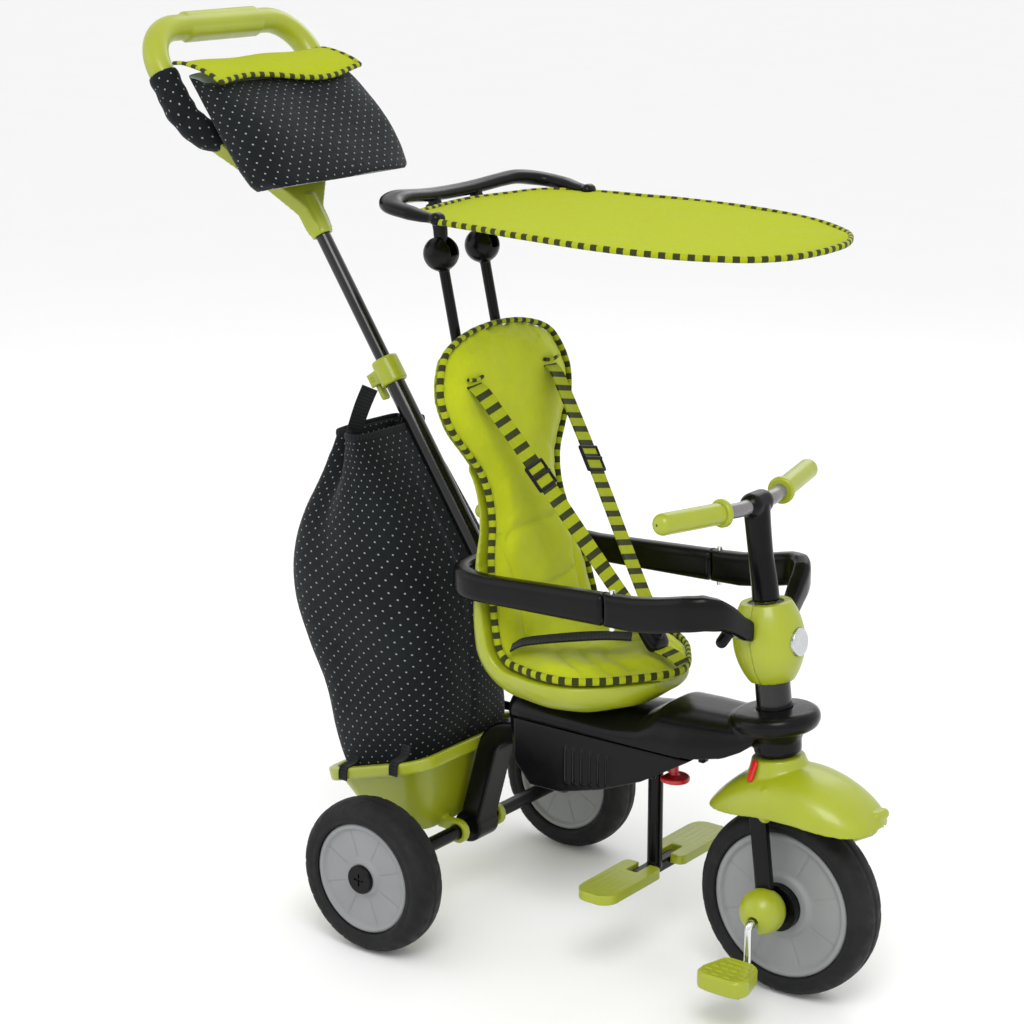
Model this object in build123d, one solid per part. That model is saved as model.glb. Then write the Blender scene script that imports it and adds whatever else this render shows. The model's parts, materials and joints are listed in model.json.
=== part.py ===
from build123d import *
import os
from math import cos, radians, sin, tan

# A children's tricycle with a parent's push handle, in millimetres.
# +X is forward, +Y is the rider's left, +Z is up, and z = 0 is the ground.
# Everything is drawn with x = 0 at the front axle, and is moved forward by FRONT_X as it is
# written, so that the origin is under the middle of the tricycle.

# Driving dimensions: overall
FRONT_X = 353.0
FIT = 0.05
GAP = 0.4
WALL = 4.0

# Front wheel, crank and pedals
FRONT_R = 105.0
FRONT_TYRE_HALF = 24.0
FRONT_RIM_R = 82.0
FRONT_RIM_HALF = 22.0
HUB_R = 26.0
HUB_HALF = 32.0
CRANK_R = 4.0
CRANK_THROW = 47.0
CRANK_ARM_Y = 85.0
PEDAL_INNER_Y = 93.0
PEDAL_OUTER_Y = 147.0
PEDAL_HALF_X = 34.0
PEDAL_THICK = 18.0

# Rear wheels and axle
REAR_X = -428.0
REAR_Y = 190.0
REAR_R = 89.0
REAR_TYRE_HALF = 23.0
REAR_RIM_R = 64.0
REAR_RIM_HALF = 20.0
AXLE_R = 5.0
AXLE_SLEEVE_R = 8.5
CAP_R = 16.6

# Steering column: a raked axis through the front axle
RAKE = 7.03
SHAFT_R = 12.7
HEAD_R = 19.0
HEAD_BORE = 16.0
LEG_INNER_Y = 36.0
LEG_OUTER_Y = 48.0
CROWN_BASE_Z = 217.0
CROWN_TOP_Z = 232.0
HEAD_BASE_Z = 269.0
HEAD_TOP_Z = 430.0
HOUSING_BASE_Z = 349.0
HOUSING_TOP_Z = 434.0
HOUSING_R = 38.5
STEM_BASE_Z = 437.0
BAR_X = -55.0
BAR_Z = 538.0
BAR_R = 8.0
BAR_BEND_Y = 32.0
GRIP_END = (-80.0, 151.0, 543.0)
BADGE_R = 15.0
BADGE_BACK = 34.5
BADGE_FACE = 39.5

# Front fender stations: x, half width, crown height and skirt height
FENDER_STATIONS = [
    (-94, 12, 206, 201), (-84, 35, 217, 203), (-60, 48, 239, 206), (-12, 55, 258, 213),
    (38, 54, 256, 213), (78, 43, 239, 210), (98, 25, 223, 209), (105, 9, 214, 210),
]
NECK_R = 29.0
LEVER_BEARING = -112.0
LEVER_LEAN = -27.0
LEVER_Z = 262.0
LEVER_PIN_R = 2.0

# Body
BODY_HALF = 60.0
SEAM_Z = 258.0
DECK_Z = 284.0
RIDGE_Z = 306.0
NOSE_R = 48.0
NOSE_BOSS_R = 25.6

# Seat
RECLINE = 12.5
BACK_X = -305.0
BACK_Z = 300.0
BACK_THICK = 18.0
PANEL_THICK = 7.0
BOWL_RIM_Z = 325.0
CUSHION_TOP_Z = 342.0

# Storage bin
RIM_LENGTH = 148.0
RIM_WIDTH = 220.0

# Safety bar
BAR_HALF_Y = 105.0
BAR_THICK = 20.0
HINGE_X = -165.0
HOOP_X = -386.0
HINGE_PIN_R = 3.0
KNUCKLE_R = 10.0
KNUCKLE_LOW = 404.0
KNUCKLE_HIGH = 448.0
TONGUE_LOW = 416.0
TONGUE_HIGH = 436.0

# Canopy
BALL_X = -446.0
BALL_Y = 37.0
BALL_Z = 768.0
BALL_R = 20.0
TILT_PIN_R = 3.0
POST_R = 6.0
CANOPY_Z = 826.0
CANOPY_SLOPE = 1.4
CANOPY_THICK = 5.0

# Push pole: an axis in the plane y = 0, through POLE_TOP
POLE_X = -658.0
POLE_Z = 775.0
POLE_LEAN = 33.4
POLE_R = 8.75
SLEEVE_R = 11.25
SLEEVE_BORE = 9.6
COLLAR_Z = 616.0
COLLAR_R = 16.0
HANDLE_HALF = 128.0
HANDLE_R = 15.0

# Footrest
POST_X = -176.0
FOOT_POST_R = 8.5
FOOT_PIVOT_Z = 226.0
FOOT_PIN_R = 4.0
FOOT_PIN_HALF = 17.0
FOOTBAR_Z = 97.0
PAD_INNER_Y = 20.0
PAD_OUTER_Y = 125.0
PAD_HALF_X = 24.0
PAD_BAR_HALF_Y = 30.0
PAD_PIN_R = 3.0

STEER = Pos(0, 0, FRONT_R) * Rot(0, -RAKE, 0)
POLE = Pos(POLE_X, 0, POLE_Z) * Rot(0, -POLE_LEAN, 0)
BACK = Plane(
    origin=(BACK_X, 0, BACK_Z),
    x_dir=(0, 1, 0),
    z_dir=(cos(radians(RECLINE)), 0, sin(radians(RECLINE))),
)
CANOPY = Plane(
    origin=(BALL_X, 0, CANOPY_Z),
    x_dir=(cos(radians(CANOPY_SLOPE)), 0, -sin(radians(CANOPY_SLOPE))),
    z_dir=(sin(radians(CANOPY_SLOPE)), 0, cos(radians(CANOPY_SLOPE))),
)
HANDLE = Plane(
    origin=(POLE_X, 0, POLE_Z),
    x_dir=(0, 1, 0),
    z_dir=(cos(radians(POLE_LEAN)), 0, sin(radians(POLE_LEAN))),
)
HANDLE_SIDE = Plane(
    origin=(POLE_X, 0, POLE_Z),
    x_dir=(cos(radians(POLE_LEAN)), 0, sin(radians(POLE_LEAN))),
    z_dir=(0, -1, 0),
)


def up_column(z):
    """Distance along the steering axis from the front axle to height z."""
    return (z - FRONT_R) / cos(radians(RAKE))


def up_pole(z):
    """Distance along the pole from its reference point to height z."""
    return (z - POLE_Z) / cos(radians(POLE_LEAN))


def pole_x(z):
    """Where the pole's axis is at height z."""
    return POLE_X - (z - POLE_Z) * tan(radians(POLE_LEAN))


def mirrored(shape):
    return mirror(shape, about=Plane.XZ)


def barrel(radius, low, high):
    """Cylinder about the local Z axis between two heights."""
    return Pos(0, 0, (low + high) / 2) * Cylinder(radius, high - low)


def column_barrel(radius, low_z, high_z):
    return STEER * barrel(radius, up_column(low_z), up_column(high_z))


def pole_barrel(radius, low_z, high_z):
    return POLE * barrel(radius, up_pole(low_z), up_pole(high_z))


def cross_bar(radius, low_y, high_y, x, z):
    """Cylinder parallel to Y."""
    middle = Pos(x, (low_y + high_y) / 2, z)
    return middle * Rot(90, 0, 0) * Cylinder(radius, high_y - low_y)


def lengthwise_bar(radius, low_x, high_x, y, z):
    """Cylinder parallel to X."""
    middle = Pos((low_x + high_x) / 2, y, z)
    return middle * Rot(0, 90, 0) * Cylinder(radius, high_x - low_x)


def side_slab(points, half_width):
    """Prism of an outline in x and z, centred on the middle plane."""
    face = Plane.XZ * make_face(Polyline(*points, close=True))
    return extrude(face, amount=half_width, both=True)


def plan_slab(points, low, high):
    """Prism of an outline in x and y."""
    face = Plane.XY.offset(low) * make_face(Polyline(*points, close=True))
    return extrude(face, amount=high - low)


def both_sides(half):
    """Closed outline from the points of its left half, listed along x."""
    return half + [(x, -y) for x, y in reversed(half)]


def block(low, high):
    size = [b - a for a, b in zip(low, high)]
    middle = [(a + b) / 2 for a, b in zip(low, high)]
    return Pos(*middle) * Box(*size)


def bent_rod(points, bend, radius):
    path = FilletPolyline(*points, radius=bend)
    section = Plane(origin=path @ 0, z_dir=path % 0) * Circle(radius)
    return sweep(section, path=path)


def band(start, end, width, thick):
    """Flat strip between two points, its width across the tricycle."""
    line = Vector(*end) - Vector(*start)
    place = Plane(origin=start, x_dir=(0, 1, 0), z_dir=line)
    if abs(line.Y) > 0:
        across = line.cross(Vector(0, 0, 1).cross(line)).normalized()
        place = Plane(origin=start, x_dir=line.cross(across), z_dir=line)
    return place * Pos(0, 0, line.length / 2) * Box(width, thick, line.length)


# ---- front wheel -------------------------------------------------------------------

def make_tyre(outer, rim, half, shoulder):
    ring = Cylinder(outer, 2 * half)
    ring = fillet(ring.edges(), shoulder)
    return Rot(90, 0, 0) * (ring - Cylinder(rim, 2 * half))


def make_rim(radius, half, hub_radius, lip, sunk, bore):
    """Disc wheel centre: a raised outer lip, a sunk face and a raised ring round the hub."""
    disc = Cylinder(radius, 2 * half)
    groove = Cylinder(radius - lip, sunk) - Cylinder(hub_radius + lip, sunk)
    for side in (-1, 1):
        disc -= Pos(0, 0, side * (half - sunk / 2)) * groove
    return Rot(90, 0, 0) * (disc - Cylinder(bore, 2 * half))


def front_tyre():
    shoulder = 13.0
    return Pos(0, 0, FRONT_R) * make_tyre(FRONT_R, FRONT_RIM_R, FRONT_TYRE_HALF, shoulder)


def front_rim():
    lip = 8.0
    sunk = 4.0
    return Pos(0, 0, FRONT_R) * make_rim(FRONT_RIM_R, FRONT_RIM_HALF, HUB_R, lip, sunk, HUB_R)


def front_hub():
    hub = Cylinder(HUB_R, 2 * HUB_HALF)
    groove_width = 1.6
    groove_depth = 1.5
    groove = Cylinder(HUB_R, groove_width) - Cylinder(HUB_R - groove_depth, groove_width)
    for side in (-1, 1):
        for step in (25.0, 28.5):
            hub -= Pos(0, 0, side * step) * groove
    return Pos(0, 0, FRONT_R) * Rot(90, 0, 0) * (hub - Cylinder(CRANK_R, 2 * HUB_HALF))


def crank():
    bend = 7.0
    end_y = PEDAL_OUTER_Y - 7.0
    high = FRONT_R + CRANK_THROW
    low = FRONT_R - CRANK_THROW
    left = [(0, end_y, high), (0, CRANK_ARM_Y, high), (0, CRANK_ARM_Y, FRONT_R)]
    right = [(0, -CRANK_ARM_Y, FRONT_R), (0, -CRANK_ARM_Y, low), (0, -end_y, low)]
    return bent_rod(left + right, bend, CRANK_R)


def pedal(side):
    """Rounded wedge tread, wider at its outer end, turning on the crank's pin."""
    narrow = 21.0
    corner = 15.0
    edge = 3.0
    half = [(PEDAL_INNER_Y, narrow), (PEDAL_OUTER_Y, PEDAL_HALF_X)]
    outline = [(x, side * y) for y, x in half] + [(-x, side * y) for y, x in reversed(half)]
    tread = plan_slab(outline, -PEDAL_THICK / 2, PEDAL_THICK / 2)
    tread = fillet(tread.edges().filter_by(Axis.Z), corner)
    tread = fillet(tread.faces().sort_by(Axis.Z)[-1].edges(), edge)
    tread = fillet(tread.faces().sort_by(Axis.Z)[0].edges(), edge)
    height = FRONT_R + side * CRANK_THROW
    pin_end = PEDAL_OUTER_Y - 6.5
    bore = cross_bar(CRANK_R + FIT, *sorted((0, side * pin_end)), 0, height)
    return Pos(0, 0, height) * tread - bore


# ---- steering ----------------------------------------------------------------------

def fork():
    leg_half_x = 10.0
    leg_x = -4.0
    eye_r = 14.0
    crown_half_x = 22.0
    shoulder = 12.0
    top = up_column(CROWN_TOP_Z)
    base = up_column(CROWN_BASE_Z)
    low = (-crown_half_x, -LEG_OUTER_Y, base)
    high = (crown_half_x, LEG_OUTER_Y, top)
    crown = block(low, high)
    crown = fillet(crown.edges().filter_by(Axis.Z), 8.0)
    ends = crown.edges().filter_by(lambda e: abs(e.center().Y) > LEG_OUTER_Y - 1)
    crown = fillet(ends.filter_by(lambda e: e.center().Z > top - 1), shoulder)
    legs = Part()
    for side in (-1, 1):
        inner, outer = sorted((side * LEG_INNER_Y, side * LEG_OUTER_Y))
        leg = block((leg_x - leg_half_x, inner, 0), (leg_x + leg_half_x, outer, base + 1))
        leg = fillet(leg.edges().filter_by(Axis.Z), 4.0)
        legs += leg + cross_bar(eye_r, inner, outer, 0, 0)
    shape = crown + legs
    shape -= barrel(SHAFT_R, base - 1, top + 1)
    shape -= cross_bar(CRANK_R + FIT, -LEG_OUTER_Y, LEG_OUTER_Y, 0, 0)
    return STEER * shape


def steering_shaft():
    bore = SHAFT_R - 2.0
    top_z = 470.0
    return column_barrel(SHAFT_R, CROWN_BASE_Z, top_z) - column_barrel(bore, CROWN_BASE_Z, top_z)


def fork_cover(side, fork_shape):
    """Ball-shaped cover outside the fork's foot, slotted for the crank."""
    ball_r = 25.0
    ball_place = (-2, side * 53.0, 4)
    slot_half = 6.0
    slot_turn = 25.0
    far = 100.0
    inner_y, outer_y = sorted((side * (LEG_INNER_Y + GAP), side * far))
    cover = Pos(*ball_place) * Sphere(ball_r)
    cover &= block((-far, inner_y, -far), (far, outer_y, far))
    cover -= cross_bar(slot_half, inner_y, outer_y, 0, 0)
    slot_low, slot_high = sorted((side * (LEG_OUTER_Y + GAP), side * far))
    slot = block((-slot_half, slot_low, -far), (slot_half, slot_high, 0))
    return STEER * (cover - Rot(0, slot_turn, 0) * slot) - fork_shape


def half_oval(half, height):
    """Upper half of an ellipse, standing on the local x axis."""
    return Ellipse(half, height) & Pos(0, height / 2) * Rectangle(2 * half, height)


def fender_dome(inset):
    """Solid dome through the fender's stations, smaller all round by the inset."""
    reach = 60.0
    sections = []
    for x, half, crown, skirt in FENDER_STATIONS:
        origin = (x * (1 - inset / reach), 0, skirt - inset)
        place = Plane(origin=origin, x_dir=(0, 1, 0), z_dir=(1, 0, 0))
        sections.append(place * half_oval(half - inset, max(crown - skirt, inset)))
    return loft(sections)


def front_fender():
    """Domed cap over the front wheel, with a neck that sits on the fork's crown."""
    wall = 3.2
    flare_r = 36.0
    tube_r = 20.0
    tube_top = 255.0
    neck_base = 250.0
    neck_top = HEAD_BASE_Z - 3.0
    flare_low = up_column(243.0)
    flare_high = up_column(256.0)
    hood = fender_dome(0) - fender_dome(wall)
    hood += column_barrel(NECK_R, neck_base, neck_top)
    flare = Cone(flare_r, NECK_R, flare_high - flare_low)
    hood += STEER * Pos(0, 0, (flare_low + flare_high) / 2) * flare
    hood += column_barrel(tube_r, CROWN_TOP_Z, tube_top)
    return hood - column_barrel(SHAFT_R, CROWN_BASE_Z, HEAD_BASE_Z)


def neck_place():
    """Frame on the right rear of the fender's neck: Z points outward and X points down."""
    turn = Rot(0, 0, LEVER_BEARING) * Pos(NECK_R, 0, 0) * Rot(0, 90, 0)
    return STEER * Pos(0, 0, up_column(LEVER_Z)) * turn * Rot(0, LEVER_LEAN, 0)


def steering_lock_lever():
    """Small lever on the neck's side, hanging down from its pin."""
    pin = barrel(LEVER_PIN_R, -3.5, 1.5)
    blade = block((-4, -3.5, 1.2), (20, 3.5, 4.6))
    blade = fillet(blade.edges().filter_by(Axis.Z), 3.0)
    return neck_place() * (pin + blade)


def lever_pocket():
    """Pin hole in the fender's neck, and the slot that the lever swings in."""
    hole = barrel(LEVER_PIN_R + FIT, -4.5, 3.0)
    slot = block((-6, -9, 0.9), (22, 9, 30))
    return neck_place() * (hole + slot)


def handlebar_stem():
    base = up_column(STEM_BASE_Z)
    top = up_column(BAR_Z - 4.0)
    low = Plane.XY.offset(base) * Circle(15.0)
    mid = Plane.XY.offset((base + top) / 2) * Pos(-3, 0) * Circle(13.0)
    high = Plane.XY.offset(top) * Pos(-1.6, 0) * Circle(14.5)
    stem = STEER * loft([low, mid, high])
    saddle_half = 17.0
    stem += cross_bar(14.5, -saddle_half, saddle_half, BAR_X, BAR_Z)
    stem -= cross_bar(BAR_R, -saddle_half, saddle_half, BAR_X, BAR_Z)
    return stem - column_barrel(SHAFT_R, STEM_BASE_Z - 1, 470.0)


def bar_direction():
    return (Vector(*GRIP_END) - Vector(BAR_X, BAR_BEND_Y, BAR_Z)).normalized()


def handlebar_tube():
    bend = 45.0
    short = 12.0
    end = Vector(*GRIP_END) - bar_direction() * short
    left = [(BAR_X, BAR_BEND_Y, BAR_Z), (end.X, end.Y, end.Z)]
    right = [(x, -y, z) for x, y, z in reversed(left)]
    return bent_rod(right + left, bend, BAR_R)


def grip(side):
    grip_r = 11.5
    flange_r = 15.0
    flange = 8.0
    length = 98.0
    socket = length - 12.0
    body = barrel(grip_r, 0, length)
    body = fillet(body.edges().sort_by(Axis.Z)[-1:], 9.0)
    rim = barrel(flange_r, 0, flange)
    rim = fillet(rim.edges(), 3.0)
    end_hole = barrel(1.5, length - 6.0, length + 1)
    shape = body + rim - barrel(BAR_R, 0, socket) - end_hole
    start = Vector(*GRIP_END) - bar_direction() * length
    place = Plane(origin=start, x_dir=(1, 0, 0), z_dir=bar_direction())
    shape = place * shape
    return shape if side > 0 else mirrored(shape)


# ---- head and housing --------------------------------------------------------------

def head_tube():
    tube = column_barrel(HEAD_R, HEAD_BASE_Z, HEAD_TOP_Z)
    return tube - column_barrel(HEAD_BORE, HEAD_BASE_Z, HEAD_TOP_Z)


def steering_bushes():
    """Flanged bushes at the two ends of the head tube."""
    flange = 2.0
    length = 22.0
    bore = SHAFT_R + FIT
    low = column_barrel(HEAD_BORE, HEAD_BASE_Z, HEAD_BASE_Z + length)
    low += column_barrel(HEAD_R, HEAD_BASE_Z - flange, HEAD_BASE_Z)
    high = column_barrel(HEAD_BORE, HEAD_TOP_Z - length, HEAD_TOP_Z)
    high += column_barrel(HEAD_R, HEAD_TOP_Z, HEAD_TOP_Z + flange)
    hole = column_barrel(bore, HEAD_BASE_Z - 10, HEAD_TOP_Z + 10)
    return (low - hole) + (high - hole)


def column_housing(front):
    """Barrel-shaped cover clamped on the head tube, in a front and a rear half."""
    end_r = 24.0
    low = up_column(HOUSING_BASE_Z)
    high = up_column(HOUSING_TOP_Z)
    middle = (low + high) / 2
    side = ThreePointArc((end_r, low), (HOUSING_R, middle), (end_r + 3, high))
    edges = side + Polyline((end_r + 3, high), (HEAD_R, high), (HEAD_R, low), (end_r, low))
    shape = revolve(Plane.XZ * make_face(edges), axis=Axis.Z)
    far = 60.0
    start, end = (0, far) if front else (-far, 0)
    shape &= block((start, -far, low - 1), (end, far, high + 1))
    return STEER * shape


def badge_place():
    return STEER * Pos(0, 0, up_column(392.0)) * Rot(0, 90, 0)


def housing_badge():
    badge = barrel(BADGE_R, BADGE_BACK, BADGE_FACE)
    badge = fillet(badge.edges().sort_by(Axis.Z)[-1:], 1.2)
    return badge_place() * badge


def badge_pocket():
    return badge_place() * barrel(BADGE_R, BADGE_BACK, BADGE_FACE + 5)


# ---- body --------------------------------------------------------------------------

def body_cavity():
    """Hollow inside the body, between the roof of the upper shell and the floor of the pan."""
    roof = [(-338, 279), (-72, 279), (-72, 270)]
    floor = [(-100, 259), (-158, 226), (-211, 204), (-265, 189), (-303, 188), (-321, 208), (-332, 243)]
    profile = side_slab(roof + floor, BODY_HALF)
    plan = both_sides([(-338, 42), (-325, 55), (-114, 55), (-60, 45)])
    return profile & plan_slab(plan, 150, 350)


def body_plan(low, high):
    """Prism of the body's outline seen from above."""
    half = [(-345, 47), (-328, BODY_HALF), (-112, BODY_HALF), (-24, 46)]
    return plan_slab(both_sides(half), low, high)


def head_hole():
    return column_barrel(HEAD_R, 240, 340)


def pole_socket():
    return pole_barrel(15.5, 236, 292)


def body_upper_shell():
    """Deck with a raised spine in front of the seat and a round nose behind the column."""
    spine_half = 19.0
    far = 400.0
    top = [(-22, 312), (-60, RIDGE_Z), (-155, RIDGE_Z), (-163, DECK_Z), (-345, DECK_Z)]
    profile = [(-345, SEAM_Z), (-95, SEAM_Z), (-46, 270), (-32, 292), (-22, 300)] + top
    shell = side_slab(profile, BODY_HALF) & body_plan(SEAM_Z, 330)
    section = [(BODY_HALF, SEAM_Z), (BODY_HALF, DECK_Z), (spine_half, RIDGE_Z), (spine_half, 330)]
    across = section + [(-y, z) for y, z in reversed(section)]
    face = Plane.YZ * make_face(Polyline(*across, close=True))
    shell &= extrude(face, amount=far, both=True)
    shell -= body_cavity()
    shell += pole_socket() & body_cavity()
    nose = barrel(NOSE_R, up_column(297), up_column(318))
    shell += STEER * fillet(nose.edges(), 8.0)
    shell += column_barrel(NOSE_BOSS_R, HEAD_BASE_Z, 300)
    shell -= head_hole()
    return shell - pole_barrel(SLEEVE_R, 235, 320)


def footrest_slots():
    """Openings in the pan's floor for the folding post and the release tab."""
    half = FOOT_POST_R + 2.0
    post = block((POST_X - 62, -half, 170), (POST_X + half, half, 245))
    tab = block((-161, -9, 205), (-144, 9, 250))
    return post + tab


def pan_ribs():
    """Upright ribs on the pan's sides, one step higher each towards the front."""
    count = 6
    pitch = 11.0
    width = 4.0
    depth = 1.5
    ribs = Part()
    for index in range(count):
        x = -256 + pitch * index
        base = 198 + 2 * index
        outer = block((x, -BODY_HALF - depth, base), (x + width, BODY_HALF + depth, 240))
        inner = block((x - 1, -BODY_HALF + 2, 150), (x + width + 1, BODY_HALF - 2, 260))
        ribs += outer - inner
    return ribs


def footrest_ears():
    """Two plates under the pan that carry the footrest's hinge pin."""
    inner = 12.0
    outer = 17.0
    half = 9.0
    base = 208.0
    ear = block((POST_X - half, inner, base), (POST_X + half, outer, FOOT_PIVOT_Z + 8))
    return ear + mirrored(ear)


def body_lower_pan():
    """Keel-shaped tray under the deck, with the footrest's hinge and its catch."""
    low = [(-338, 241), (-327, 205), (-306, 183), (-264, 184), (-210, 199), (-157, 221), (-95, SEAM_Z)]
    pan = side_slab([(-345, SEAM_Z)] + low, BODY_HALF) & body_plan(170, SEAM_Z)
    pan -= body_cavity()
    pan += pan_ribs()
    catch = block((-118, -6, 236), (-110, 6, 252))
    pan += catch - body_cavity()
    pan += footrest_ears()
    pan -= footrest_slots()
    pan -= cross_bar(FOOT_PIN_R + FIT, -FOOT_PIN_HALF - 1, FOOT_PIN_HALF + 1, POST_X, FOOT_PIVOT_Z)
    return pan - pole_barrel(15.5, 225, 262)


def strut():
    """Central spine from the body's rear down to the rear axle."""
    width = 38.0
    thick = 26.0
    eye_r = 19.0
    axle_z = REAR_R
    path = FilletPolyline((-322, 0, 228), (-394, 0, 212), (REAR_X, 0, axle_z), radius=34)
    place = Plane(origin=path @ 0, x_dir=(0, 1, 0), z_dir=path % 0)
    spine = sweep(place * Rectangle(width, thick), path=path)
    spine += cross_bar(eye_r, -width / 2, width / 2, REAR_X, axle_z)
    return spine - cross_bar(AXLE_R, -width / 2, width / 2, REAR_X, axle_z)


def rear_axle():
    end_y = 210.0
    return cross_bar(AXLE_R, -end_y, end_y, REAR_X, REAR_R)


def axle_sleeves():
    inner_y = 19.0
    outer_y = REAR_Y - REAR_RIM_HALF - 1.0
    sleeve = cross_bar(AXLE_SLEEVE_R, inner_y, outer_y, REAR_X, REAR_R)
    sleeve -= cross_bar(AXLE_R, inner_y, outer_y, REAR_X, REAR_R)
    return sleeve + mirrored(sleeve)


def axle_nuts():
    """Push-on caps that keep the rear wheels on the axle."""
    inner_y = 203.5
    outer_y = 208.0
    nut_r = 9.0
    nut = cross_bar(nut_r, inner_y, outer_y, REAR_X, REAR_R)
    nut -= cross_bar(AXLE_R, inner_y, outer_y, REAR_X, REAR_R)
    return nut + mirrored(nut)


def rear_tyre(side):
    shoulder = 12.0
    tyre = make_tyre(REAR_R, REAR_RIM_R, REAR_TYRE_HALF, shoulder)
    return Pos(REAR_X, side * REAR_Y, REAR_R) * tyre


def rear_rim(side):
    """Disc centre with a running bore and a recess for the nut and the hub cap."""
    lip = 7.0
    sunk = 4.0
    recess_r = 13.0
    recess_y = 203.0
    cap_seat_y = 207.0
    rim = Pos(REAR_X, REAR_Y, REAR_R) * make_rim(
        REAR_RIM_R, REAR_RIM_HALF, CAP_R + 4, lip, sunk, AXLE_R + FIT
    )
    face_y = REAR_Y + REAR_RIM_HALF
    rim -= cross_bar(recess_r, recess_y, face_y, REAR_X, REAR_R)
    rim -= cross_bar(CAP_R, cap_seat_y, face_y, REAR_X, REAR_R)
    return rim if side > 0 else mirrored(rim)


def hub_cap(side):
    """Round cap with a cross-shaped slot, hollow over the axle's end."""
    seat_y = 207.0
    face_y = 215.0
    cap = cross_bar(CAP_R, seat_y, face_y, REAR_X, REAR_R)
    cap = fillet(cap.edges().sort_by(Axis.Y)[-1:], 2.0)
    cap -= cross_bar(11.0, seat_y, seat_y + 4.5, REAR_X, REAR_R)
    slot_half = 1.2
    reach = 7.0
    for half_x, half_z in ((slot_half, reach), (reach, slot_half)):
        low = (REAR_X - half_x, face_y - 1.5, REAR_R - half_z)
        high = (REAR_X + half_x, face_y + 1, REAR_R + half_z)
        cap -= block(low, high)
    return cap if side > 0 else mirrored(cap)


# ---- storage -----------------------------------------------------------------------

def bucket_block(inset, rim_plane):
    """Tapered block between the bin's base and its rim, smaller all round by the inset."""
    base_x = -493.0
    base_z = 94.0
    base_length = 86.0
    base_width = 156.0
    corner = 26.0 - inset
    low = Plane(origin=(base_x, 0, base_z + inset), z_dir=(0, 0, 1))
    floor = low * RectangleRounded(base_length - 2 * inset, base_width - 2 * inset, corner)
    mouth = rim_plane * RectangleRounded(RIM_LENGTH - 2 * inset, RIM_WIDTH - 2 * inset, corner)
    return loft([floor, mouth])


def axle_fin():
    """Plate that clips the bin on the axle's sleeve, beside the strut."""
    low_y = 30.0
    high_y = 40.0
    fin_r = 14.0
    fin = cross_bar(fin_r, low_y, high_y, REAR_X, REAR_R)
    return fin + block((-456, low_y, REAR_R), (REAR_X, high_y, REAR_R + fin_r))


def storage_bucket():
    """Open tapered bin behind the strut, with a rolled rim that slopes down to the rear."""
    tilt = radians(16.5)
    rim_height = 14.0
    rim_out = 7.0
    corner = 34.0
    along = (cos(tilt), 0, sin(tilt))
    upward = (-sin(tilt), 0, cos(tilt))
    rim_plane = Plane(origin=(-496, 0, 178), x_dir=along, z_dir=upward)
    outer = bucket_block(0, rim_plane)
    inner = bucket_block(WALL, rim_plane.offset(0.01))
    edge = RectangleRounded(RIM_LENGTH + 2 * rim_out, RIM_WIDTH + 2 * rim_out, corner)
    hole = RectangleRounded(RIM_LENGTH - 2 * WALL, RIM_WIDTH - 2 * WALL, 26.0 - WALL)
    rim = extrude(rim_plane * (edge - hole), amount=-rim_height)
    bucket = outer - inner
    bucket += rim - outer
    fins = axle_fin() + mirrored(axle_fin())
    bucket += fins - inner
    return bucket - cross_bar(AXLE_SLEEVE_R, -45, 45, REAR_X, REAR_R)


def storage_bag():
    """Soft tote that stands in the bucket and hangs from the collar."""
    half = 96.0
    side = [(-446, 165), (-540, 136), (-557, 175), (-600, 250), (-648, 345), (-657, 405), (-640, 450)]
    top = [(-592, 546), (-545, 552), (-528, 520), (-442, 396), (-430, 215)]
    bag = side_slab(side + top, half)
    bag = fillet(bag.edges().filter_by(lambda e: abs(e.center().Y) > half - 1), 14.0)
    shrink = 26.0
    neck = [(half - shrink, 130), (half, 205), (half, 420), (half - shrink, 560)]
    outline = [(y, z) for y, z in neck] + [(-y, z) for y, z in reversed(neck)]
    face = Plane.YZ * make_face(Polyline(*outline, close=True))
    return bag & extrude(face, amount=800, both=True)


def bag_webbing():
    """Two carrying handles from the bag's top to the collar."""
    width = 20.0
    thick = 2.0
    handles = Part()
    for side in (-1, 1):
        handles += band((-568, side * 40, 553), (pole_x(602), side * 25, 602), width, thick)
    return handles


# ---- seat --------------------------------------------------------------------------

def back_face(inset):
    """Backrest outline: hips, waist and a round head lobe."""
    side = [(84, 31), (92, 66), (87, 112), (79, 155), (64, 200), (68, 245), (98, 290)]
    side += [(117, 335), (104, 370), (62, 396)]
    side = [(y - inset, v) for y, v in side]
    foot = (side[0][0], side[0][1] + inset)
    points = [foot] + side[1:] + [(0, 404 - inset)]
    points += [(-y, v) for y, v in reversed(side[1:])] + [(-foot[0], foot[1])]
    return make_face(Spline(*points) + Line(points[-1], points[0]))


def back_cushion():
    cushion = extrude(BACK * back_face(0), amount=-BACK_THICK)
    return fillet(cushion.edges().filter_by(lambda e: e.length > 300), 4.0)


def cushion_face():
    """Seat pad's outline, broad at the hips and rounded to a nose."""
    side = [(-307, 62), (-300, 92), (-262, 108), (-215, 99), (-176, 56)]
    points = side + [(-141, 0)] + [(x, -y) for x, y in reversed(side)]
    return make_face(Spline(*points) + Line(points[-1], points[0]))


def seat_cushion():
    base = BOWL_RIM_Z + GAP
    return extrude(Plane.XY.offset(base) * cushion_face(), amount=CUSHION_TOP_Z - base)


def back_place(v):
    """Frame inside the back panel at a distance up the recline; its y points backwards."""
    along = BACK.y_dir
    under = BACK_THICK + GAP + 3.0
    origin = Vector(BACK_X, 0, BACK_Z) + along * v - BACK.z_dir * under
    return Plane(origin=origin, x_dir=(0, 1, 0), z_dir=along)


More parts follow.
